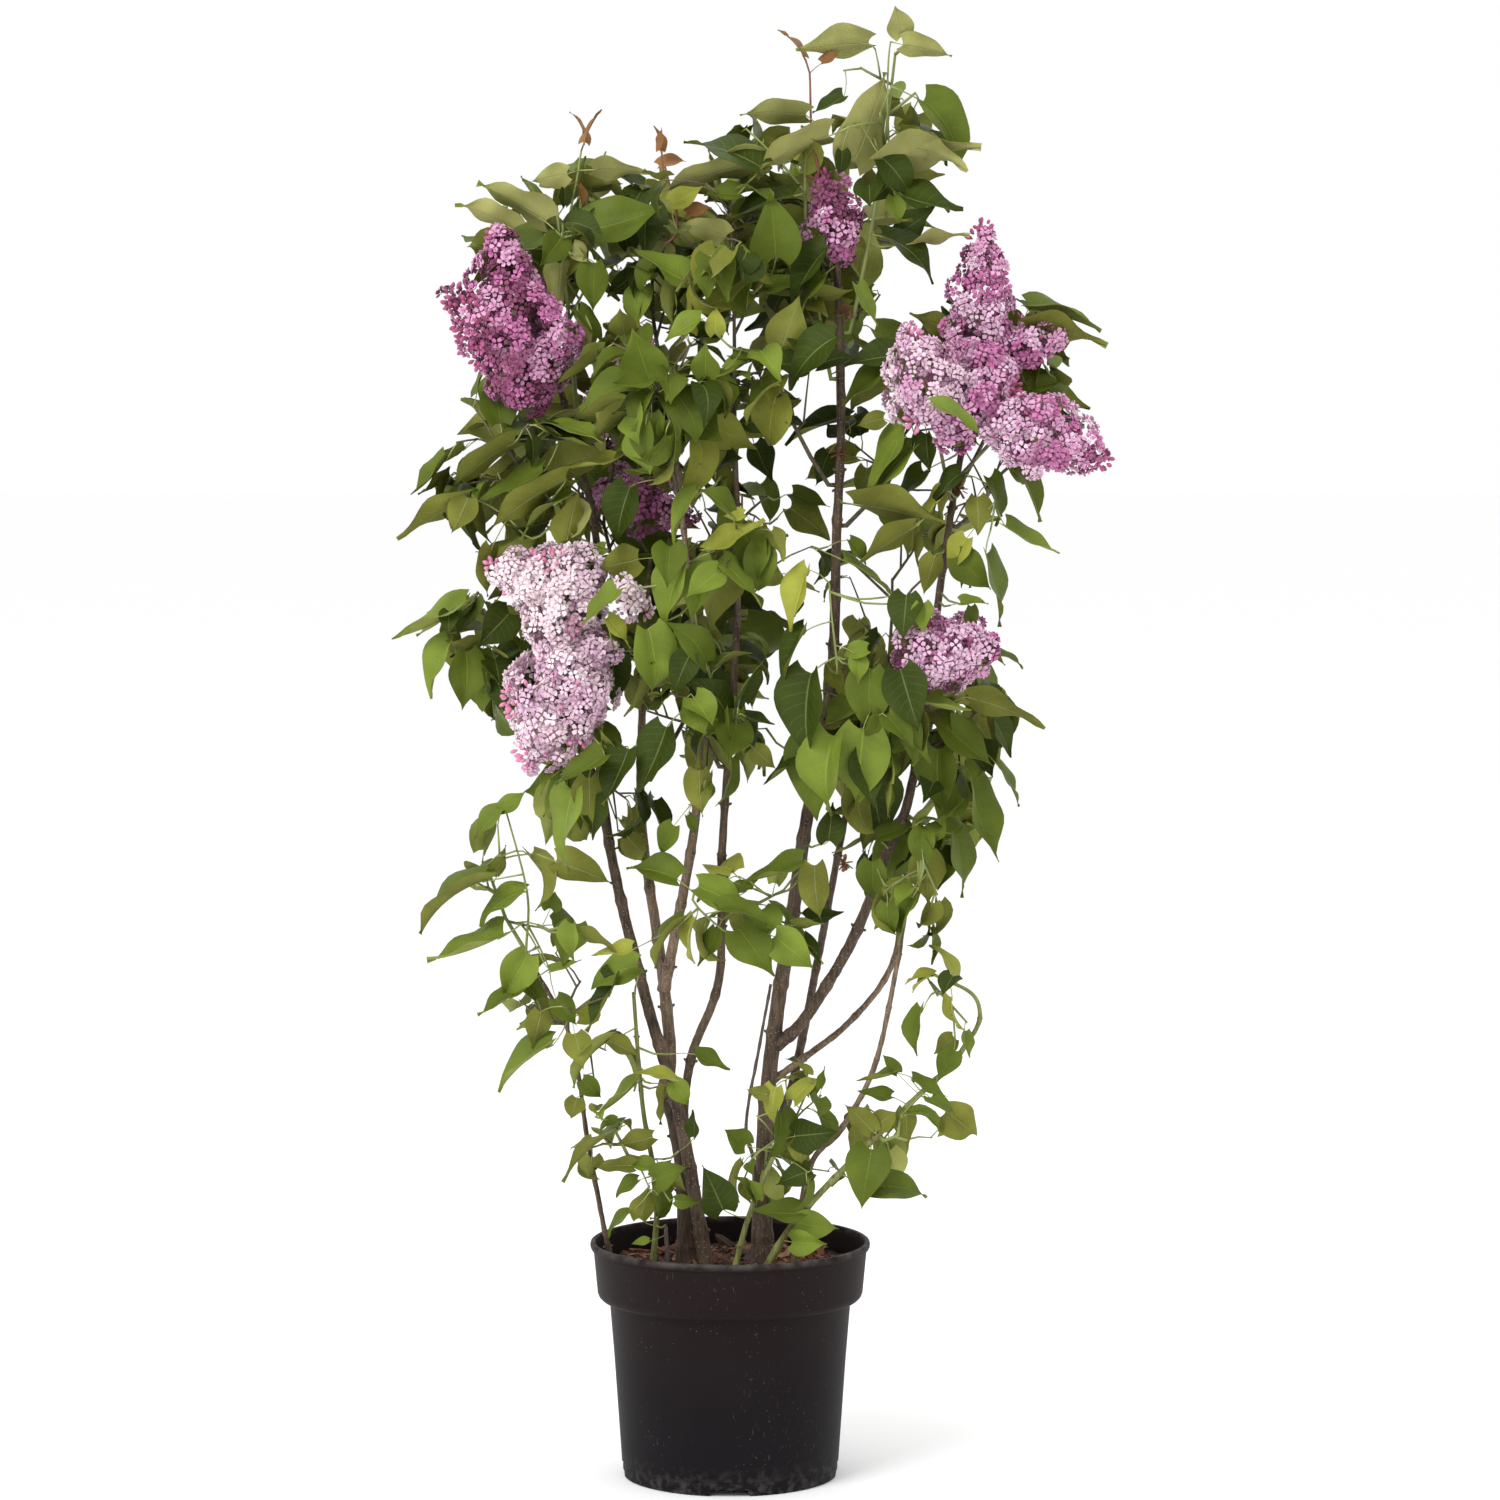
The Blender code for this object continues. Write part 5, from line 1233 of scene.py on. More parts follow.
def blade_patterns(kind, rng):
    """Blades of one kind, each folded, curled, waved and twisted in its own way."""
    made = []
    for _ in range(kind.count):
        width = rng.uniform(*kind.width) if isinstance(kind.width, tuple) else kind.width
        made.append(leaf_pattern(
            width, rng.uniform(*kind.fold), rng.choice(kind.curls), rng.uniform(*kind.wave),
            rng.uniform(-kind.twist, kind.twist), rng.uniform(0.0, math.tau), kind.steps))
    return made


def petal_pattern(size, lift, cup, sides):
    """One petal from the middle outwards: a flattened ball, tilted up by lift and cupped."""
    length, width = size
    deselect()
    bpy.ops.mesh.primitive_uv_sphere_add(segments=sides, ring_count=2, radius=1.0)
    thing = bpy.context.active_object
    for vertex in thing.data.vertices:
        x, y, z = vertex.co
        out = (x + 1.0) / 2.0
        wide = y * (0.55 + 0.75 * out)
        high = z * PETAL_THICK + cup * (y * y + 0.6 * out * out)
        reach = PETAL_START + (1.0 - PETAL_START) * out
        vertex.co = (
            length * (reach * math.cos(lift) - high * math.sin(lift)),
            width / 2 * wide,
            length * (reach * math.sin(lift) + high * math.cos(lift)))
    # Faces turned down take the darker back finish: painted shade under the petal
    for face in thing.data.polygons:
        face.material_index = 0 if face.normal.z > 0.0 else 1
    two_finishes(thing)
    return Pattern(thing)


def floret_pattern(size, lift, cup, doubled):
    """Four petals in a cross, and a smaller pair above them where the flower is double."""
    outer = petal_pattern([side * size for side in PETAL], lift, cup, 5)
    parts = [(outer, Matrix.Rotation(i * math.pi / 2, 3, "Z"), (0, 0, 0)) for i in range(4)]
    if doubled:
        inner = petal_pattern([side * size for side in INNER_PETAL], lift + 0.60, cup, 4)
        parts += [(inner, Matrix.Rotation(0.6 + i * math.pi, 3, "Z"), (0, 0, INNER_LIFT)) for i in range(2)]
    return Pattern(parts=parts)


def bud_pattern(length, width):
    """A plump closed bud on a short tube, standing along Z."""
    deselect()
    bpy.ops.mesh.primitive_uv_sphere_add(segments=6, ring_count=4, radius=1.0)
    thing = bpy.context.active_object
    for vertex in thing.data.vertices:
        x, y, z = vertex.co
        girth = 1.0 if z > -0.2 else 0.62
        vertex.co = (x * width / 2 * girth, y * width / 2 * girth, (z + 0.6) * length / 2)
    return Pattern(thing)


def chip_pattern(seed, long, wide, thick):
    """A broken flake of bark."""
    rng = random.Random(seed)
    deselect()
    bpy.ops.mesh.primitive_cube_add(size=1.0)
    thing = bpy.context.active_object
    edit(thing, lambda: bpy.ops.mesh.subdivide(number_cuts=1))
    for vertex in thing.data.vertices:
        x, y, z = vertex.co
        x *= 1.0 - 0.35 * abs(y)
        vertex.co = (
            x * long + rng.uniform(-0.12, 0.12) * long,
            y * wide + rng.uniform(-0.16, 0.16) * wide,
            z * thick + rng.uniform(-0.22, 0.22) * thick)
    return Pattern(thing)


# Leaves

# The blade's outline in shares of its length, and its faces, as leaves are tested against each other
PROXY = ((0.0, 0.0, 0.0), (0.25, 0.31, 0.03), (0.25, -0.31, 0.03), (0.60, 0.21, -0.02), (0.60, -0.21, -0.02),
         (0.97, 0.0, -0.14))
PROXY_FACES = ((0, 2, 1), (1, 2, 4, 3), (3, 4, 5))
STALK_TONES = {"bronze": 1}
# Plain blades, and those of leaves placed in front by their upper side and by their underside
Blades = namedtuple("Blades", "count width fold curls wave twist steps")
PLAIN_BLADES = Blades(
    22, (0.58, 0.74), (0.25, 1.2), (-0.5, 0.3, 0.6, 1.0, 1.4, 1.8), (0.014, 0.040), 1.0, (8, 4))
SHOWN_BLADES = Blades(
    14, BLADE_WIDTH * 1.05, (0.35, 1.0), (0.3, 0.6, 0.9, -0.4), (0.022, 0.046), 0.6, (12, 6))
TURNED_BLADES = Blades(
    10, BLADE_WIDTH * 1.10, (0.15, 0.55), (0.15, 0.35, 0.50, -0.25), (0.030, 0.060), 0.35, (12, 6))
Leaf = namedtuple("Leaf", "foot aim turn size corners tree middle")


def seen_from_eye(point):
    """Where a point is seen, across and up in the plane of the pot's middle."""
    spot = EYE + (point - EYE) * (-EYE.y / (point.y - EYE.y))
    return spot.x, spot.z


def seen_in_mm(point):
    across, up = seen_from_eye(point)
    return MM_PER_M * across, MM_PER_M * up


def leaf_at(foot, aim, turn, size):
    """A leaf's place, with the coarse shape that it is tested by."""
    corners = [Vector(turn @ np.array(point)) + foot for point in PROXY]
    tree = BVHTree.FromPolygons(corners, PROXY_FACES, epsilon=0.0)
    return Leaf(foot, aim, turn, size, corners, tree, sum(corners, Vector()) / len(corners))


def lay(leaf, back):
    """A leaf of a spray as it is seen, turned about its length until it looks as wide as it should."""
    across, up, tip_across, tip_up, width, _ = leaf
    foot = place_mm(across, up, back)
    flat = place_mm(tip_across, tip_up, back) - foot
    view = (EYE - foot).normalized()
    wide = abs(width) / MM_PER_M
    size = max(flat.length, wide / BLADE_WIDEST)
    aim = (flat + view * math.sqrt(max(0.0, size ** 2 - flat.length ** 2))).normalized()
    towards = (view - aim * view.dot(aim)).normalized()
    edge = towards.cross(aim)
    edge = edge if edge.z > 0.0 else -edge
    share = min(1.0, wide / (BLADE_WIDTH * size))
    face = (towards * math.copysign(share, width) + edge * math.sqrt(1.0 - share * share)).normalized()
    turn = basis(aim, face) * size
    turn[:, 1] *= min(1.1, max(1.0, wide / (BLADE_WIDTH * size)))
    return leaf_at(foot, aim, turn, size)


def off_limits(corner, space):
    """Tells if a leaf's corner leaves its mass, the solids' box or the air over the pot."""
    if shares(corner)[space] > OWN_REACH:
        return True
    if not SOIL_TOP + EDGE_CLEAR <= corner.z <= cad_high.z - EDGE_CLEAR:
        return True
    if any(not low - BOX_CLEAR < at < high + BOX_CLEAR for low, at, high in zip(cad_low, corner, cad_high)):
        return True
    return corner.z < POT_HEIGHT + EDGE_CLEAR and math.hypot(corner.x, corner.y) > POT_LIP_RADIUS - LIP_CLEAR


class Leafing:
    """Grows every leaf, keeping each in its own mass's space and clear of limbs, flowers and other leaves."""

    def __init__(self, solid):
        rng = random.Random("blades")
        self.patterns = blade_patterns(PLAIN_BLADES, rng)
        self.shown_patterns = blade_patterns(SHOWN_BLADES, rng), blade_patterns(TURNED_BLADES, rng)
        self.solid = solid
        self.piles = {}
        self.stalks = []
        self.grown = []
        self.middles = np.zeros((0, 3))
        self.shown = []
        self.spots = np.zeros((0, 4))
        self.rows = np.array(OUTLINE)
        self.sky = np.array(SKY)

    def clear(self, tree, middle, size):
        """Tells if a leaf touches no limb, no flower head and no leaf that is there already."""
        if tree.overlap(self.solid):
            return False
        far = ((self.middles - np.array(middle)) ** 2).sum(axis=1)
        near = np.nonzero(far < (size * NEAR_LEAF) ** 2)[0]
        return not any(tree.overlap(self.grown[i]) for i in near)

    def show(self, point, reach):
        """Keeps the view from the eye to a point clear of leaves that come later."""
        self.shown.append((*seen_from_eye(point), point.y, reach))

    def settle(self):
        """Takes up all that is shown, before the leaves that must not hide it."""
        self.spots = np.array(self.shown)

    def hides(self, middle, size):
        across, up = seen_from_eye(middle)
        far = np.hypot(self.spots[:, 0] - across, self.spots[:, 1] - up)
        return bool(((far < self.spots[:, 3] + size * SHOWN_SHARE) & (self.spots[:, 2] > middle.y)).any())

    def outside(self, one, rng):
        """Tells if a leaf reaches over the crown's seen edge or into a gap, or is one too many where it is thin."""
        heights, lefts, rights = self.rows.T
        for corner in (one.corners[0], one.corners[-1]):
            across, up = seen_in_mm(corner)
            inside = np.interp(up, heights, lefts) < across < np.interp(up, heights, rights)
            if up > heights[-1] or not inside:
                return True
        across, up = seen_in_mm(one.middle)
        far = np.hypot(self.sky[:, 0] - across, self.sky[:, 1] - up)
        if (far < self.sky[:, 2] + one.size * SKY_CLEAR).any():
            return True
        return any(math.hypot(x - across, y - up) < wide and rng.random() > share for x, y, wide, share in THINNER)

    def add(self, path, one, tint, rng, patterns):
        self.grown.append(one.tree)
        self.middles = np.vstack([self.middles, np.array(one.middle)])
        self.piles.setdefault(tint, Pile()).add(rng.choice(patterns), one.turn, one.foot)
        thick = STALK_RADIUS * (one.size / STALK_LEAF) ** 0.5
        radii = [thick * (1.0 - STALK_TAPER * i / len(path)) for i in range(len(path))]
        radii[0] *= 1.25
        self.stalks.append((path, radii, STALK_TONES.get(tint, 0)))

    def hang(self, root, stalk_way, aim, face, size, tint, rng, space):
        """One leaf on its stalk, unless it would leave its space, touch something or hide a leaf that is shown."""
        stalk = STALK_SHARE * size * rng.uniform(*STALK_SPREAD)
        foot = root + stalk_way * stalk * STALK_OUT + aim * stalk * STALK_ON
        one = leaf_at(foot, aim, basis(aim, face) * size, size)
        if any(off_limits(corner, space) for corner in one.corners):
            return False
        near = shares(one.middle)
        if near.argmin() != space or near[space] > 1.0 or self.hides(one.middle, size):
            return False
        if self.outside(one, rng) or not self.clear(one.tree, one.middle, size):
            return False
        bend = root + stalk_way * stalk * 0.5
        under = foot + aim * size * STALK_UNDER
        path = smooth_path([root - stalk_way * 0.0006, bend, foot, under], 0.011)
        self.add(path, one, tint, rng, self.patterns)
        return True

    def pin(self, leaf, back, anchors, owners, twig_runs, rng):
        """One leaf laid where it is seen, on a stalk from the nearest twig, or on a twig of its own to there."""
        laid = [lay(leaf, back + shift) for shift in DEPTH_SHIFTS]
        one = next((one for one in laid if self.clear(one.tree, one.middle, one.size)), laid[0])
        foot, aim = one.foot, one.aim
        root, number, far = anchors.find(foot - aim * ANCHOR_LOOK)
        axis, along = owners[number]
        if axis:
            axis.bear(along)
        if far > STALK_REACH:
            end = foot.lerp(root, OWN_STALK / far) - UP * 0.003
            path = smooth_path([root, root.lerp(end, 0.5) - UP * 0.06 * far, end], 0.015)
            radii = [OWN_TWIG_FOOT - OWN_TWIG_TAPER * i / len(path) for i in range(len(path))]
            twig_runs.append((path, radii, GREEN))
            root = end
        bow = root.lerp(foot, 0.55) - aim * 0.08 * (foot - root).length
        path = smooth_path([root, bow, foot, foot + aim * one.size * STALK_UNDER], 0.008)
        width, tint = leaf[4:]
        self.add(path, one, tint, rng, self.shown_patterns[width < 0])
        self.show(one.middle, one.size * SHOWN_SHARE)


def leaf_way(mass, along, turn, out, rng):
    """A leaf's stalk leaves its twig sideways and up. The blade leans outwards and hangs by the mass's droop."""
    side = sideways(along, turn)
    stalk_way = (side * 0.80 + along * 0.55 + UP * 0.15).normalized()
    hang = mass.droop * rng.uniform(0.10, 1.35) + rng.uniform(-0.30, 0.25)
    aim = (side * 0.70 + along * 0.25 + out * 0.40 - UP * hang).normalized()
    loose = Vector([rng.uniform(-0.60, 0.60) for _ in range(3)])
    face = UP * 0.80 + out * (0.35 + 0.45 * min(1.0, mass.droop)) + loose
    face -= aim * face.dot(aim)
    return stalk_way, aim, face.normalized()


def thin_line(start, end):
    return BVHTree.FromPolygons([start, end, end + UP * 1e-4], [(0, 1, 2)])


class Axis:
    """A stem, twig or sprig that bears leaves from where it begins, and is cut where its last leaf leaves it."""

    def __init__(self, path, begin, thick, thin, tone, parent=None, at=0.0):
        self.path = path
        self.run = lengths_along(path)
        self.begin = begin
        self.thick = thick
        self.thin = thin
        self.tone = tone
        self.parent = parent
        self.at = at
        self.used = 0.0

    def bear(self, far):
        self.used = max(self.used, far)

    def as_run(self):
        end = min(self.run[-1], self.used + 0.002)
        fars = [far for far in self.run if far < end - 0.001] + [end]
        points = [point_along(self.path, self.run, far) for far in fars]
        return points, [self.thick + (self.thin - self.thick) * far / self.run[-1] for far in fars], self.tone


def mass_axes(number, mass, lines, solid):
    """The mass's stem, twigs and side sprigs, each after the one that it grows from."""
    centre = place(mass.centre)
    stem, twigs = mass_twigs(mass, lines, random.Random(mass.name))
    rng = random.Random(mass.name + SEED_WORDS)
    tone = GREEN if mass.name in GREEN_TWIGS else 0
    trunk = Axis(stem, lengths_along(stem)[-1] * 0.30, STEM_FOOT * 0.85, STEM_TIP * 0.70, tone)
    axes = [trunk]
    for i, (foot, tip) in enumerate(twigs):
        if thin_line(foot, tip).overlap(solid):
            continue
        line = tip - foot
        ahead = line.normalized()
        bow = (foot + tip) / 2 + UP * line.length * rng.uniform(-0.02, 0.10)
        path = smooth_path([foot, bow, tip], 0.02)
        twig = Axis(path, 0.012, TWIG_FOOT * 0.72, TWIG_TIP * 0.62, tone, trunk, twig_at(mass, trunk.run[-1], i))
        axes.append(twig)
        for j in range(SPRIGS):
            far = line.length * (0.22 + 0.19 * j)
            start = point_along(twig.path, twig.run, far)
            side = Matrix.Rotation(rng.uniform(0, math.tau), 3, ahead) @ line.orthogonal().normalized()
            way = (side + ahead * 0.6 + (start - centre).normalized() * 0.5).normalized()
            end = start + way * rng.uniform(*SPRIG_LENGTH)
            if shares(end)[number] < SPRIG_REACH and not thin_line(start, end).overlap(solid):
                path = smooth_path([start, start.lerp(end, 0.5) + UP * 0.002, end], 0.015)
                axes.append(Axis(path, 0.010, TWIG_TIP * 0.75, TWIG_TIP * 0.45, tone, twig, far))
    return axes


def grow_leaves(number, mass, axes, leafing):
    """Pairs of leaves along a mass's twigs, as many as find room in its space."""
    rng = random.Random(mass.name + "leaves")
    centre = place(mass.centre)
    tints, tint_shares = zip(*TINTS_OF.get(mass.name, TINTS_ELSE))
    for axis in axes:
        run = axis.run
        tint = rng.choices(tints, tint_shares)[0]
        for i in range(max(1, round((run[-1] - axis.begin) / LEAF_SPACING))):
            far = run[-1] - i * LEAF_SPACING - 0.002
            if far < axis.begin:
                break
            point = point_along(axis.path, run, far)
            ahead = point_along(axis.path, run, far + 0.004)
            along = (ahead - point_along(axis.path, run, far - 0.004)).normalized()
            out = (point - centre).normalized()
            for half in range(2):
                if rng.random() > THIN.get(mass.name, 1.0):
                    continue
                size = mass.leaf * BLADE_SHARE * rng.uniform(*LEAF_SPREAD) * (END_LEAF if i == 0 else 1.0)
                for attempt in range(LEAF_TRIES):
                    spin = i * math.pi / 2 + half * math.pi + rng.uniform(-0.35, 0.35) + attempt * 0.55
                    ways = leaf_way(mass, along, spin, out, rng)
                    if leafing.hang(point, *ways, size * (1.0 - 0.05 * attempt), tint, rng, number):
                        axis.bear(far)
                        break


# Flowers

class Panicle:
    """One branch of a flower head: domes of florets over a lobed cone, over an inner layer of dark florets that is
    painted shade, buds at the tip.
    """

    def __init__(self, branch, palette, phase, seed, bud_share, piles, patterns):
        self.foot, tip, self.radius = place(branch[0]), place(branch[1]), branch[2]
        self.axis = tip - self.foot
        self.along = self.axis.normalized()
        self.turn = stood_on(self.along)
        self.palette = palette
        self.phase = phase
        self.rng = random.Random(seed)
        self.bud_share = bud_share
        self.piles = piles
        self.florets, self.buds = patterns
        self.steps = [(i + 0.5) / PANICLE_STEPS for i in range(PANICLE_STEPS)]
        areas = [self.girth(t, 0.0) + PANICLE_LEAST * self.radius for t in self.steps]
        total = sum(areas)
        self.marks = np.cumsum(areas) / total
        self.area = total / PANICLE_STEPS * self.axis.length * math.tau

    def girth(self, t, around):
        z = 2.0 * t - 1.0
        ring = math.sqrt(max(0.0, 1.0 - z * z)) * (1.0 - PANICLE_TAPER * (t - PANICLE_WIDEST))
        lobes = 1.0 + PANICLE_LOBES * math.sin(PANICLE_LOBE_COUNT * around + PANICLE_WIND * t + self.phase)
        return self.radius * ring * lobes

    def step_at(self, share):
        """How far along the branch this share of its surface is reached."""
        return self.steps[int(np.searchsorted(self.marks, share))]

    def bloom(self, spot, way, sizes, tint, pattern):
        size = self.rng.uniform(*sizes)
        spin = stood_on(way) @ Matrix.Rotation(self.rng.uniform(0.0, math.tau), 3, "Z")
        self.piles.setdefault(tint, Pile()).add(pattern, np.array(spin) * size, spot)

    def dome(self, t, around):
        """One small dome of florets, or of buds."""
        rng = self.rng
        side = self.turn @ on_ring(around)
        past = max(0.0, t - PANICLE_THIN)
        lump = CLUSTER_RADIUS * rng.uniform(*CLUSTER_SPREAD) * (1.0 - 0.35 * past / PANICLE_TIP)
        reach = self.girth(t, around)
        at = self.foot + self.axis * t
        swell = noise.noise((at + side * reach) * PANICLE_GRAIN + Vector((self.phase, 0.0, 0.0)))
        reach = reach * (1.0 + PANICLE_LUMPS * swell) + rng.uniform(-0.004, 0.005) - lump
        middle = at + side * max(0.0, reach)
        out = (side + self.along * ((2.0 * t - 1.0) ** 3 * 1.2 + 0.20)).normalized()
        # Tone drifts at random, is lighter where the dome bulges out and darker in the hollows as painted light and
        # shade, and is darker towards the tip
        drift_and_light = noise.noise(middle * 20.0 + Vector((0.0, self.phase, 0.0))) + rng.uniform(-0.40, 0.40)
        drift_and_light += 0.6 * swell - 0.5 * past / PANICLE_TIP
        tone = 0 if drift_and_light > 0.05 else 1 if drift_and_light > -0.30 else 2
        closed = rng.random() < self.bud_share + max(0.0, t - 0.88) * 5.0
        for j in range(round(CLUSTER_FLORETS * (lump / CLUSTER_RADIUS) ** 1.6) + 2):
            level = 1.0 - (j + 0.5) / 11.0
            ring = math.sqrt(max(0.0, 1.0 - level * level))
            way = stood_on(out) @ on_ring(j * GOLDEN_TURN + self.phase, ring, level)
            spot = middle + way * lump * rng.uniform(0.88, 1.10)
            way = (way + out * 0.35 + Vector([rng.uniform(-0.30, 0.30) for _ in range(3)])).normalized()
            tint = self.palette[min(2, max(0, tone + rng.choice((0,) * 12 + (1, -1))))]
            if closed or rng.random() < self.bud_share:
                self.bloom(spot, way, BUD_SIZES, self.palette[3], self.buds[j % len(self.buds)])
            else:
                self.bloom(spot, way, FLORET_SIZES, tint, self.florets[j % (len(self.florets) - 1)])

    def grow(self):
        rng = self.rng
        count = max(6, round(self.area / CLUSTER_SPACING ** 2))
        for i in range(count):
            self.dome(self.step_at((i + 0.5) / count), i * GOLDEN_TURN + rng.uniform(-0.30, 0.30))
        # An inner layer of florets in the head's dark tint, 11 to 15 mm under the surface: painted shade between the
        # domes
        for i in range(round(self.area / FLORET_SPACING ** 2 * 0.26)):
            t = min(0.96, self.step_at(rng.random()))
            around = rng.uniform(0.0, math.tau)
            side = self.turn @ on_ring(around)
            reach = self.girth(t, around) - rng.uniform(0.011, 0.015)
            spot = self.foot + self.axis * t + side * max(0.001, reach)
            self.bloom(spot, (side + self.along * 0.3).normalized(), INNER_SIZES, self.palette[2], self.florets[-1])


def grow_head(head, lines, piles, stalk_runs, patterns):
    """A flower head's stem and arms, and a panicle on each of its branches."""
    rng = random.Random(head.name)
    first = place(head.branches[0][0])
    axis = place(head.branches[0][1]) - first
    path = leave_limb(lines[head.limb], head.at, first)
    path = smooth_path([*path, first + axis * 0.1, first + axis * 0.3], 0.02)
    stalk_runs.append((path, [HEAD_STEM * 0.85] * len(path)))
    phases = [rng.uniform(0.0, math.tau) for _ in head.branches]
    for number, (branch, phase) in enumerate(zip(head.branches, phases)):
        if number:
            foot = place(branch[0])
            arm = [first + axis * 0.25, foot, foot.lerp(place(branch[1]), 0.3)]
            stalk_runs.append((arm, HEAD_ARM))
        panicle = Panicle(branch, PALETTES[head.tint], phase, f"{head.name}{number}",
                          BUDDY.get((head.name, number), 0.02), piles, patterns)
        wire = [panicle.foot, panicle.foot + panicle.axis * 0.45, panicle.foot + panicle.axis * 0.86]
        stalk_runs.append((wire, HEAD_WIRE))
        panicle.grow()


# Wood

def limb_nodes(limb, length, rng):
    """How far along a limb its nodes sit."""
    marks = []
    far = rng.uniform(0.02, 0.05)
    while far < length - 0.01:
        marks.append(far)
        far += NODE_SPACING * rng.uniform(0.75, 1.25) * (0.7 if limb.name.startswith("shoot") else 1.0)
    return marks


def limb_runs(lines):
    """The limbs as runs for wires, with swellings at the nodes and a collar where a bough leaves its parent."""
    runs = []
    bud_spots = []
    for limb in LIMBS:
        rng = random.Random(limb.name)
        path, radii = lines[limb.name]
        run = lengths_along(path)
        marks = limb_nodes(limb, run[-1], rng)
        shaped = []
        for radius, at in zip(radii, run):
            swell = max([math.exp(-((at - mark) / NODE_LENGTH) ** 2) for mark in marks], default=0.0)
            swell *= NODE_SWELL * min(1.0, 0.0052 / radius) + 0.04
            knob = KNOB_SWELL if limb.name in KNOBBED else 0.0
            end = math.exp(-((run[-1] - at) / KNOB_LENGTH) ** 2) * knob
            collar = COLLAR * math.exp(-at / COLLAR_LENGTH) if limb.parent in lines else 0.0
            shaped.append(radius * (1.0 + swell + end + collar))
        if limb.parent in lines:
            shaped[0] = min(shaped[0], point_at(lines[limb.parent], path[0].z)[2] * 0.8)
        runs.append((limb, path, shaped))
        for mark in marks:
            point = point_along(path, run, mark)
            along = (point_along(path, run, mark + 0.004) - point).normalized()
            radius = shaped[min(range(len(run)), key=lambda i: abs(run[i] - mark))]
            bud_spots.append((point, along, radius, rng.uniform(0.0, math.tau)))
    return runs, bud_spots


def roughen(thing, amount):
    """Presses furrows and lumps into bark along its own normals."""
    mesh = thing.data
    normals = read(mesh.vertices, "normal", 3)
    points = read(mesh.vertices, "co", 3)
    for i in range(len(points)):
        x, y, z = (float(value) for value in points[i])
        furrow, lump = (noise.noise(Vector((x * wide, y * wide, z * long))) for wide, long in (FURROWS, LUMPS))
        points[i] += normals[i] * amount * (furrow + 0.8 * lump)
    points[:, 2] = np.maximum(points[:, 2], SOIL_TOP - FOOT_DEPTH)
    mesh.vertices.foreach_set("co", points.ravel())
    mesh.update()


def bark_of(limb):
    return BARK_OF.get(limb.name, "bark_grey")


def build_limbs(runs):
    """The limbs of each bark, as one piece."""
    made = {}
    for name, bark in BARKS.items():
        chosen = [(path, radii) for limb, path, radii in runs if bark_of(limb) == name]
        made[name] = wires(name, chosen, LIMB_SIDES, [bark_finish(name, bark)])
        roughen(made[name], bark.lumps)
        made[name].data.shade_smooth()
    return made


# Pot

def body_radius(height):
    """The pot body's outer radius, which tapers from under the band to the foot."""
    return POT_FOOT_RADIUS + (POT_BODY_TOP_RADIUS - POT_FOOT_RADIUS) * (height / UNDER_BAND)


def turned(name, profile, sides):
    """A closed solid drawn up from a circle, ring by ring, through radii and heights."""
    deselect()
    radius, height = profile[0]
    bpy.ops.mesh.primitive_circle_add(
        vertices=sides, radius=radius, location=(0.0, 0.0, height), fill_type="NGON")
    thing = bpy.context.active_object
    thing.name = name
    bpy.ops.object.transform_apply(location=True, rotation=True, scale=True)
    bpy.ops.object.mode_set(mode="EDIT")
    bpy.ops.mesh.select_all(action="SELECT")
    for new_radius, new_height in profile[1:]:
        bpy.ops.mesh.extrude_region_move(
            TRANSFORM_OT_translate={"value": (0.0, 0.0, new_height - height)})
        grow = new_radius / radius
        bpy.ops.transform.resize(value=(grow, grow, 1.0), center_override=(0.0, 0.0, new_height))
        radius, height = new_radius, new_height
    bpy.ops.mesh.select_all(action="SELECT")
    face_out()
    bpy.ops.object.mode_set(mode="OBJECT")
    return thing


def foot_profile():
    """From the pad's middle over the hollow under the pot and the foot ring up to the tapered body."""
    ring = POT_FOOT_RADIUS - POT_FOOT_RING_WIDTH
    return [
        (MIDDLE_HOLE, 0.0), (POT_PAD_RADIUS, 0.0), (POT_PAD_RADIUS + 0.002, POT_FOOT_RING_HEIGHT),
        (ring - 0.001, POT_FOOT_RING_HEIGHT), (ring, 0.0004), (ring + 0.0008, 0.0),
        (POT_FOOT_RADIUS - 0.0012, 0.0), (POT_FOOT_RADIUS - 0.0004, 0.0008), (POT_FOOT_RADIUS, 0.0095),
        (POT_FOOT_RADIUS - 0.0006, 0.0112), (body_radius(0.013) - 0.0016, 0.0122),
        (body_radius(0.014) - 0.0012, 0.0136), (body_radius(0.016), 0.0150), (body_radius(0.018), 0.0180)]


def band_profile():
    """The body's wall, the step out to the band, and the band."""
    low = POT_BAND_LOW_RADIUS
    return [
        (body_radius(0.070), 0.070), (body_radius(0.120), 0.120),
        (body_radius(UNDER_BAND) + 0.0004, UNDER_BAND - 0.0040),
        (body_radius(UNDER_BAND) + 0.0012, UNDER_BAND - 0.0012), (low - 0.0072, UNDER_BAND),
        (low - 0.0040, UNDER_BAND + 0.0006), (low - 0.0016, UNDER_BAND + 0.0030),
        (low - 0.0003, UNDER_BAND + 0.0064), (low, UNDER_BAND + 0.0100)]


def lip_profile():
    """The rounded lip, from the band's top over the rim to the inner wall."""
    under_lip = POT_HEIGHT - POT_LIP_HEIGHT
    inner = POT_BAND_TOP_RADIUS - POT_WALL
    return [
        (POT_BAND_TOP_RADIUS - 0.0003, under_lip - 0.0040), (POT_BAND_TOP_RADIUS + 0.0002, under_lip - 0.0008),
        (POT_LIP_RADIUS - 0.0009, under_lip), (POT_LIP_RADIUS - 0.0002, under_lip + 0.0016),
        (POT_LIP_RADIUS, POT_HEIGHT - 0.0026), (POT_LIP_RADIUS - 0.0005, POT_HEIGHT - 0.0009),
        (POT_LIP_RADIUS - 0.0016, POT_HEIGHT), (inner + 0.0010, POT_HEIGHT),
        (inner + 0.0002, POT_HEIGHT - 0.0008), (inner, POT_HEIGHT - 0.0040)]


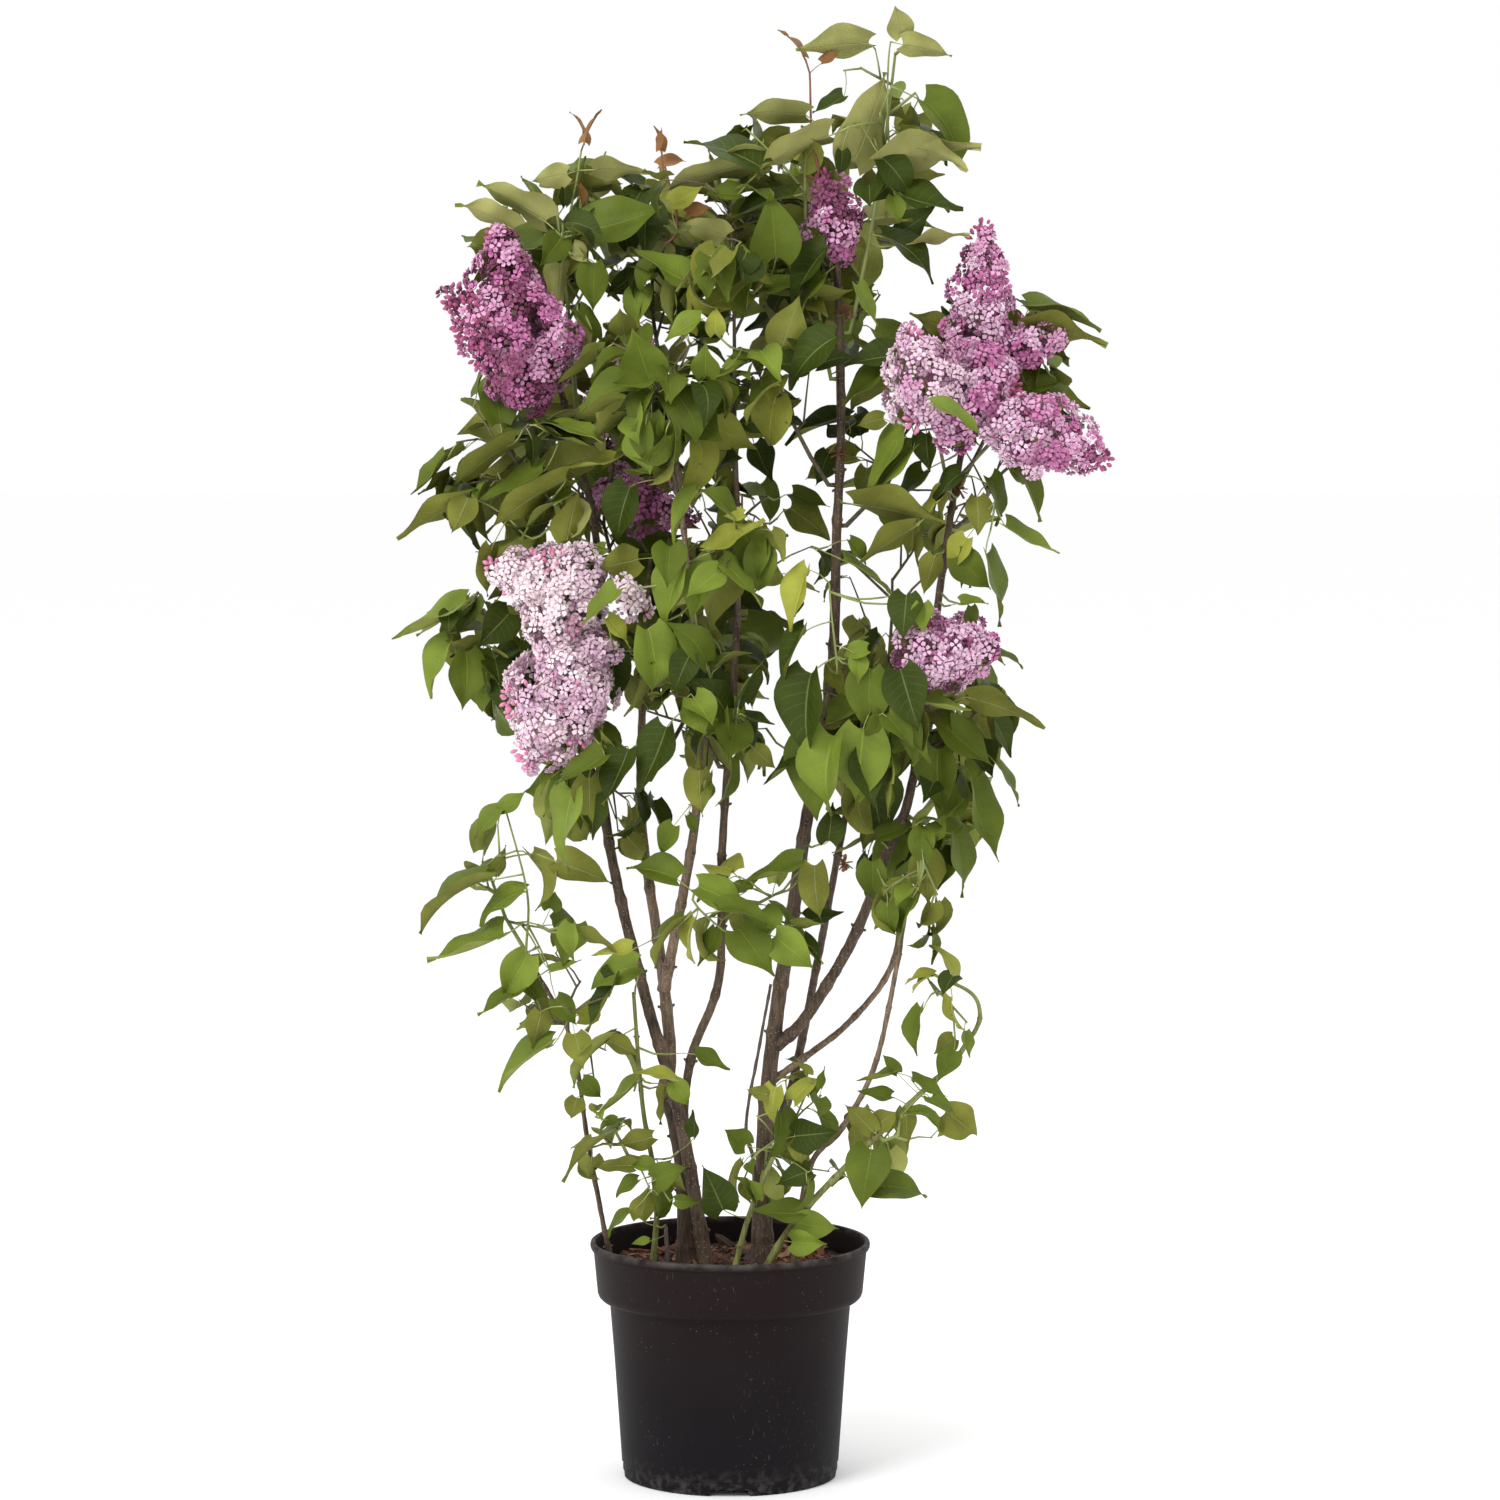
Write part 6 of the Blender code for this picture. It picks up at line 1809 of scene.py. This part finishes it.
def inside_profile():
    """Down the inner wall to the floor's middle."""
    floor = POT_FOOT_RING_HEIGHT + POT_FLOOR
    corner = body_radius(floor) - POT_WALL
    return [
        (POT_BAND_LOW_RADIUS - POT_WALL, UNDER_BAND + 0.006),
        (body_radius(UNDER_BAND) - POT_WALL, UNDER_BAND - 0.002),
        (corner, floor + 0.004), (corner - 0.004, floor), (MIDDLE_HOLE, floor)]


def cut_notch(pot, turn):
    """A drain notch in the foot ring, narrower at its top."""
    deselect()
    bpy.ops.mesh.primitive_cube_add(size=1.0)
    cutter = bpy.context.active_object
    cutter.scale = (POT_FOOT_RING_WIDTH * 3.2, NOTCH_WIDTH, NOTCH_HEIGHT * 2)
    bpy.ops.object.transform_apply(location=False, rotation=False, scale=True)
    for vertex in cutter.data.vertices:
        if vertex.co.z > 0.0:
            vertex.co.y *= 0.80
    cutter.rotation_euler.z = turn
    cutter.location = on_ring(turn, POT_FOOT_RADIUS)
    apply_modifier(pot, "BOOLEAN", operation="DIFFERENCE", object=cutter, solver="EXACT")
    bpy.data.objects.remove(cutter, do_unlink=True)


def build_pot():
    """A moulded pot: foot ring with drain notches, tapered body, stepped band and rounded lip."""
    profile = foot_profile() + band_profile() + lip_profile() + inside_profile()
    pot = turned("nursery_pot", profile, POT_STEPS)
    for i in range(NOTCHES):
        cut_notch(pot, math.radians(-90.0 + i * 360.0 / NOTCHES))
    pot.data.shade_smooth()
    pot.data.set_sharp_from_angle(angle=math.radians(38.0))
    pot.data.materials.clear()
    pot.data.materials.append(pot_finish())
    return pot


def bore_radius(height):
    """The pot's inner radius between the band's foot and the lip."""
    low = UNDER_BAND + 0.006
    share = (height - low) / (POT_HEIGHT - 0.004 - low)
    return POT_BAND_LOW_RADIUS - POT_WALL + (POT_BAND_TOP_RADIUS - POT_BAND_LOW_RADIUS) * share


def soil_height(x, y):
    """The uneven top of the compost, a little higher round the stems."""
    lumps = noise.noise(Vector((x * 30.0, y * 30.0, 0.0))) * 0.0030
    crumbs = noise.noise(Vector((x * 95.0, y * 95.0, 2.0))) * 0.0022
    mound = 0.004 * math.exp(-((x + 0.03) ** 2 + y * y) / 0.0016)
    return SOIL_TOP - 0.002 + (lumps + crumbs) + mound


def build_soil():
    """Compost that fills the pot: a turned plug whose fine top is raised and pitted."""
    radius = bore_radius(SOIL_TOP) - 2 * GAP
    low = SOIL_TOP - SOIL_DEPTH
    profile = [(MIDDLE_HOLE, low), (bore_radius(low) - 2 * GAP, low), (radius, SOIL_TOP - 0.006)]
    profile += [(radius * (1.0 - i / SOIL_RINGS), SOIL_TOP) for i in range(SOIL_RINGS)]
    soil = turned("compost", profile, SOIL_STEPS)
    for vertex in soil.data.vertices:
        if vertex.co.z > SOIL_TOP - 0.001:
            vertex.co.z = soil_height(vertex.co.x, vertex.co.y)
    soil.data.shade_smooth()
    soil.data.materials.clear()
    soil.data.materials.append(soft_finish("compost", COMPOST, 110.0, 0.95, relief=0.0015, grain=700.0))
    return soil


def scatter_chips(feet):
    """Bark flakes lying over the compost, clear of the stems."""
    patterns = [chip_pattern(i, 0.0125 + 0.004 * (i % 3), 0.0055, 0.0022) for i in range(6)]
    rng = random.Random("chips")
    piles = {}
    radius = bore_radius(SOIL_TOP) - 0.004
    count = 0
    while count < CHIP_COUNT:
        around, far = rng.uniform(0.0, math.tau), radius * math.sqrt(rng.random())
        x, y = math.cos(around) * far, math.sin(around) * far
        if any((x - foot.x) ** 2 + (y - foot.y) ** 2 < (size + 0.003) ** 2 for foot, size in feet):
            continue
        size = rng.uniform(0.45, 1.25) * (1.0 if rng.random() < 0.8 else 1.5)
        if far + 0.009 * size > radius:
            continue
        tilt = Matrix.Rotation(rng.gauss(0.0, 0.35), 3, "X") @ Matrix.Rotation(rng.gauss(0.0, 0.35), 3, "Y")
        turn = np.array(tilt @ Matrix.Rotation(rng.uniform(0.0, math.tau), 3, "Z")) * size
        tone = rng.choices(list(CHIPS), CHIP_SHARES)[0]
        spot = (x, y, soil_height(x, y) + rng.uniform(0.0, 0.0024))
        piles.setdefault(tone, Pile()).add(rng.choice(patterns), turn, spot)
        count += 1
    return {tone: pile.build(tone, [soft_finish(tone, CHIPS[tone], 160.0, 0.92, relief=0.0005, grain=1200.0)], 30.0)
            for tone, pile in piles.items()}


# Build

def tree_of(marks):
    tree = KDTree(len(marks))
    for i, (point, *_) in enumerate(marks):
        tree.insert(point, i)
    tree.balance()
    return tree


def limb_sheets(path, radii, points, faces):
    """Two crossed sheets along a limb."""
    for i in range(0, len(path) - 4, 4):
        a, b = path[i], path[i + 4]
        base = len(points)
        for off in (Vector((radii[i], 0.0, 0.0)), Vector((0.0, radii[i], 0.0))):
            points += [a - off, a + off, b + off, b - off]
        faces += [(base, base + 1, base + 2, base + 3), (base + 4, base + 5, base + 6, base + 7)]


def branch_shell(branch, points, faces, rings=7, sides=8):
    """A coarse shell round one branch of a flower head."""
    foot, tip, radius = place(branch[0]), place(branch[1]), branch[2]
    turn = stood_on(tip - foot)
    base = len(points)
    for j in range(rings):
        t = j / (rings - 1)
        z = 2 * t - 1
        thin = 1 - PANICLE_TAPER * (t - PANICLE_WIDEST)
        ring = radius * SOLID_RADIUS * math.sqrt(max(0.0, 1 - z * z)) * thin
        points += [foot.lerp(tip, t) + turn @ on_ring(k * math.tau / sides, ring) for k in range(sides)]
    for j in range(rings - 1):
        low = base + j * sides
        for k in range(sides):
            m = (k + 1) % sides
            faces.append((low + k, low + m, low + sides + m, low + sides + k))


def limbs_and_heads(runs):
    """What leaves keep clear of, as one shape to test them against."""
    points, faces = [], []
    for _, path, radii in runs:
        limb_sheets(path, radii, points, faces)
    for head in HEADS:
        for branch in head.branches:
            branch_shell(branch, points, faces)
    return BVHTree.FromPolygons(points, faces)


def anchor_marks(lines, axes):
    """Where a stalk may begin: each point, the axis that it lies on and how far along."""
    marks = [(point, None, 0.0) for path, _ in lines.values() for point in path[::3]]
    for axis in (axis for grown in axes for axis in grown):
        steps = max(1, round(axis.run[-1] / ANCHOR_STEP))
        for far in (axis.run[-1] * i / steps for i in range(steps + 1)):
            marks.append((point_along(axis.path, axis.run, far), axis, far))
    return marks


def grow_shoot(shoot, marks):
    """A young shoot from the nearest wood or twig, which later shoots and leaves may stand on."""
    path = [place_mm(across, up, shoot.back) for across, up in shoot.path]
    start, number, _ = tree_of(marks).find(path[0])
    _, axis, far = marks[number]
    if axis:
        axis.bear(far)
    path = smooth_path([start, *path[1:]] if (start - path[0]).length < 0.008 else [start, *path], 0.010)
    marks += [(point, None, 0.0) for point in path]
    foot = TWIG_FOOT * SHOOT_FOOT
    return path, [foot + (SHOOT_TIP - foot) * i / (len(path) - 1) for i in range(len(path))], shoot.tone


def lay_sprays(leafing, marks, twig_runs):
    anchors = tree_of(marks)
    owners = [(axis, far) for _, axis, far in marks]
    rng = random.Random("sprays")
    for spray in SPRAYS:
        for leaf in spray.leaves:
            leafing.pin(leaf, spray.back, anchors, owners, twig_runs, rng)


def show_heads_and_stems(leafing, lines):
    """Keeps later leaves out of the view of the front flower heads and of the bare stretches of stem."""
    for head in HEADS:
        for foot, tip, radius in head.branches:
            if tip[2] <= SHOWN_DEPTH:
                for share in (0.1, 0.3, 0.5, 0.7, 0.9):
                    leafing.show(place(foot).lerp(place(tip), share), radius * SHOWN_RADIUS)
    for name, low, high in BARE:
        for point in lines[name][0][::3]:
            if low < point.z < high:
                leafing.show(point, BARE_REACH)


def build_leaves(lines, runs):
    """Leaves of each tint, their stalks, and the twigs and shoots that bear them."""
    solid = limbs_and_heads(runs)
    leafing = Leafing(solid)
    coarse = limb_lines(LIMB_STEP)
    axes = [mass_axes(number, mass, coarse, solid) for number, mass in enumerate(MASSES)]
    marks = anchor_marks(lines, axes)
    twig_runs = [grow_shoot(shoot, marks) for shoot in SHOOTS]
    lay_sprays(leafing, marks, twig_runs)
    show_heads_and_stems(leafing, lines)
    leafing.settle()
    for number in sorted(range(len(MASSES)), key=lambda i: MASSES[i].centre[2]):
        grow_leaves(number, MASSES[number], axes[number], leafing)
    for grown in axes:
        for axis in reversed(grown):
            if axis.used:
                twig_runs.append(axis.as_run())
                if axis.parent:
                    axis.parent.bear(axis.at)
    made = {"leaves_" + tint: pile.build("leaves_" + tint, leaf_finishes(tint), 75.0)
            for tint, pile in leafing.piles.items()}
    green = soft_finish("leaf_stalk", STALK_GREEN, 40.0, 0.5)
    red = soft_finish("leaf_stalk_red", STALK_RED, 40.0, 0.5)
    made["leaf_stalks"] = wires("leaf_stalks", leafing.stalks, THIN_SIDES, [green, red])
    made["twigs"] = wires("twigs", twig_runs, THIN_SIDES, [
        bark_finish("twig_bark", TWIG_BARK), soft_finish("twig_green", TWIG_GREEN, 30.0, 0.55), red])
    return made


def build_blossom(lines):
    """Florets and buds of each tint, and the stalks inside the flower heads."""
    florets = [floret_pattern(1.0, 0.30, 0.10, True), floret_pattern(0.95, 0.10, 0.16, False),
               floret_pattern(1.05, 0.50, 0.08, True), floret_pattern(0.95, 0.20, 0.12, False)]
    buds = [bud_pattern(0.0068, 0.0038), bud_pattern(0.0056, 0.0034)]
    piles, stalk_runs = {}, []
    for head in HEADS:
        grow_head(head, lines, piles, stalk_runs, (florets, buds))
    made = {"florets_" + tint: pile.build("florets_" + tint, petal_finishes(tint), 70.0)
            for tint, pile in piles.items()}
    made["flower_stalks"] = wires("flower_stalks", stalk_runs, THIN_SIDES, [
        soft_finish("flower_stalk", FLOWER_STALK, 60.0, 0.6)])
    return made


def build_winter_buds(bud_spots):
    """A pair of closed buds at each node of a limb."""
    bud = bud_pattern(0.0050, 0.0034)
    pile = Pile()
    for point, along, radius, turn in bud_spots:
        side = sideways(along, turn)
        size = min(1.0, radius / 0.0045) * 0.9
        for sign in (1, -1):
            way = (side * sign + along * 1.1).normalized()
            pile.add(bud, np.array(stood_on(way)) * size, point + side * sign * radius * 0.92)
    return pile.build("winter_buds", [soft_finish("bud_scale", BUD_SCALE, 300.0, 0.6)])


def build_remains():
    """Tufts of dry flakes where old flowers stood."""
    flake = chip_pattern(9, 0.0085, 0.0030, 0.0012)
    rng = random.Random("remains")
    pile = Pile()
    for across, up, back in REMAINS:
        for _ in range(16):
            turn = Matrix.Rotation(rng.uniform(0.0, math.tau), 3, "Z") @ Matrix.Rotation(rng.uniform(-1.2, 1.2), 3, "Y")
            spot = place_mm(across, up, back) + turn @ Vector((rng.uniform(0.003, 0.008), 0.0, 0.0))
            pile.add(flake, np.array(turn) * rng.uniform(0.6, 1.1), spot)
    return pile.build("dry_remains", [soft_finish("dry_remains", DRY_FLOWER, 300.0, 0.85)], 30.0)


def stand_in(made):
    """Gives each piece its body, and hides the nodes that the pieces stand in for."""
    for name, piece in made.items():
        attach(piece, "root")
    limbs_of = {}
    for limb in LIMBS:
        limbs_of.setdefault(bark_of(limb), []).append(limb.name)
    for name, stood in limbs_of.items():
        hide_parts(*stood)
    masses = [mass.name for mass in MASSES]
    leaves = [name for name in made if name.startswith("leaves_")]
    for name in ("twigs", "leaf_stalks", *leaves):
        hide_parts(*masses)
    for head in HEADS:
        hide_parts(head.name)
        for tint in dict.fromkeys(PALETTES[head.tint]):
            if "florets_" + tint in made:
                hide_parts(head.name)
    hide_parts("pot")
    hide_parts("soil")
    for tone in CHIPS:
        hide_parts("soil")


def build_bush():
    for thing in frame["nodes"].values():
        thing.select_set(False)
    lines = limb_lines(BARK_STEP)
    runs, bud_spots = limb_runs(lines)
    made = build_limbs(runs)
    made.update(build_leaves(lines, runs))
    made.update(build_blossom(lines))
    made["winter_buds"] = build_winter_buds(bud_spots)
    made["dry_remains"] = build_remains()
    made["nursery_pot"] = build_pot()
    made["compost"] = build_soil()
    made.update(scatter_chips([(path[0], radii[0]) for limb, path, radii in runs if limb.parent == "soil"]))
    stand_in(made)


# Stage

def set_floor():
    deselect()
    bpy.ops.mesh.primitive_plane_add(size=FLOOR_SIZE, location=FLOOR_MIDDLE)
    floor = bpy.context.active_object
    floor.name = "floor"
    paint, _, shader = finish_of("floor_paint", 0.9)
    shader.inputs["Base Color"].default_value = FLOOR_PAINT
    floor.data.materials.append(paint)


def set_light():
    bpy.context.scene.view_settings.view_transform = "Standard"
    world = bpy.context.scene.world or bpy.data.worlds.new("studio")
    bpy.context.scene.world = world
    world.use_nodes = True
    world.node_tree.nodes["Background"].inputs["Color"].default_value = (1.0, 1.0, 1.0, 1.0)
    world.node_tree.nodes["Background"].inputs["Strength"].default_value = 1.0
    for name, spot, size, power in LAMPS:
        light = bpy.data.lights.new(name, "AREA")
        light.size = size
        light.energy = power
        stand_and_aim(put(name, light), Vector(spot), LAMP_AIM)


def set_camera():
    camera = bpy.data.cameras.new("camera")
    camera.lens = LENS
    bpy.context.scene.camera = stand_and_aim(put("camera", camera), EYE, AIM)


def stand_and_aim(thing, spot, aim):
    thing.location = spot
    thing.rotation_euler = (aim - spot).to_track_quat("-Z", "Y").to_euler()
    return thing


build_bush()
set_floor()
set_light()
set_camera()
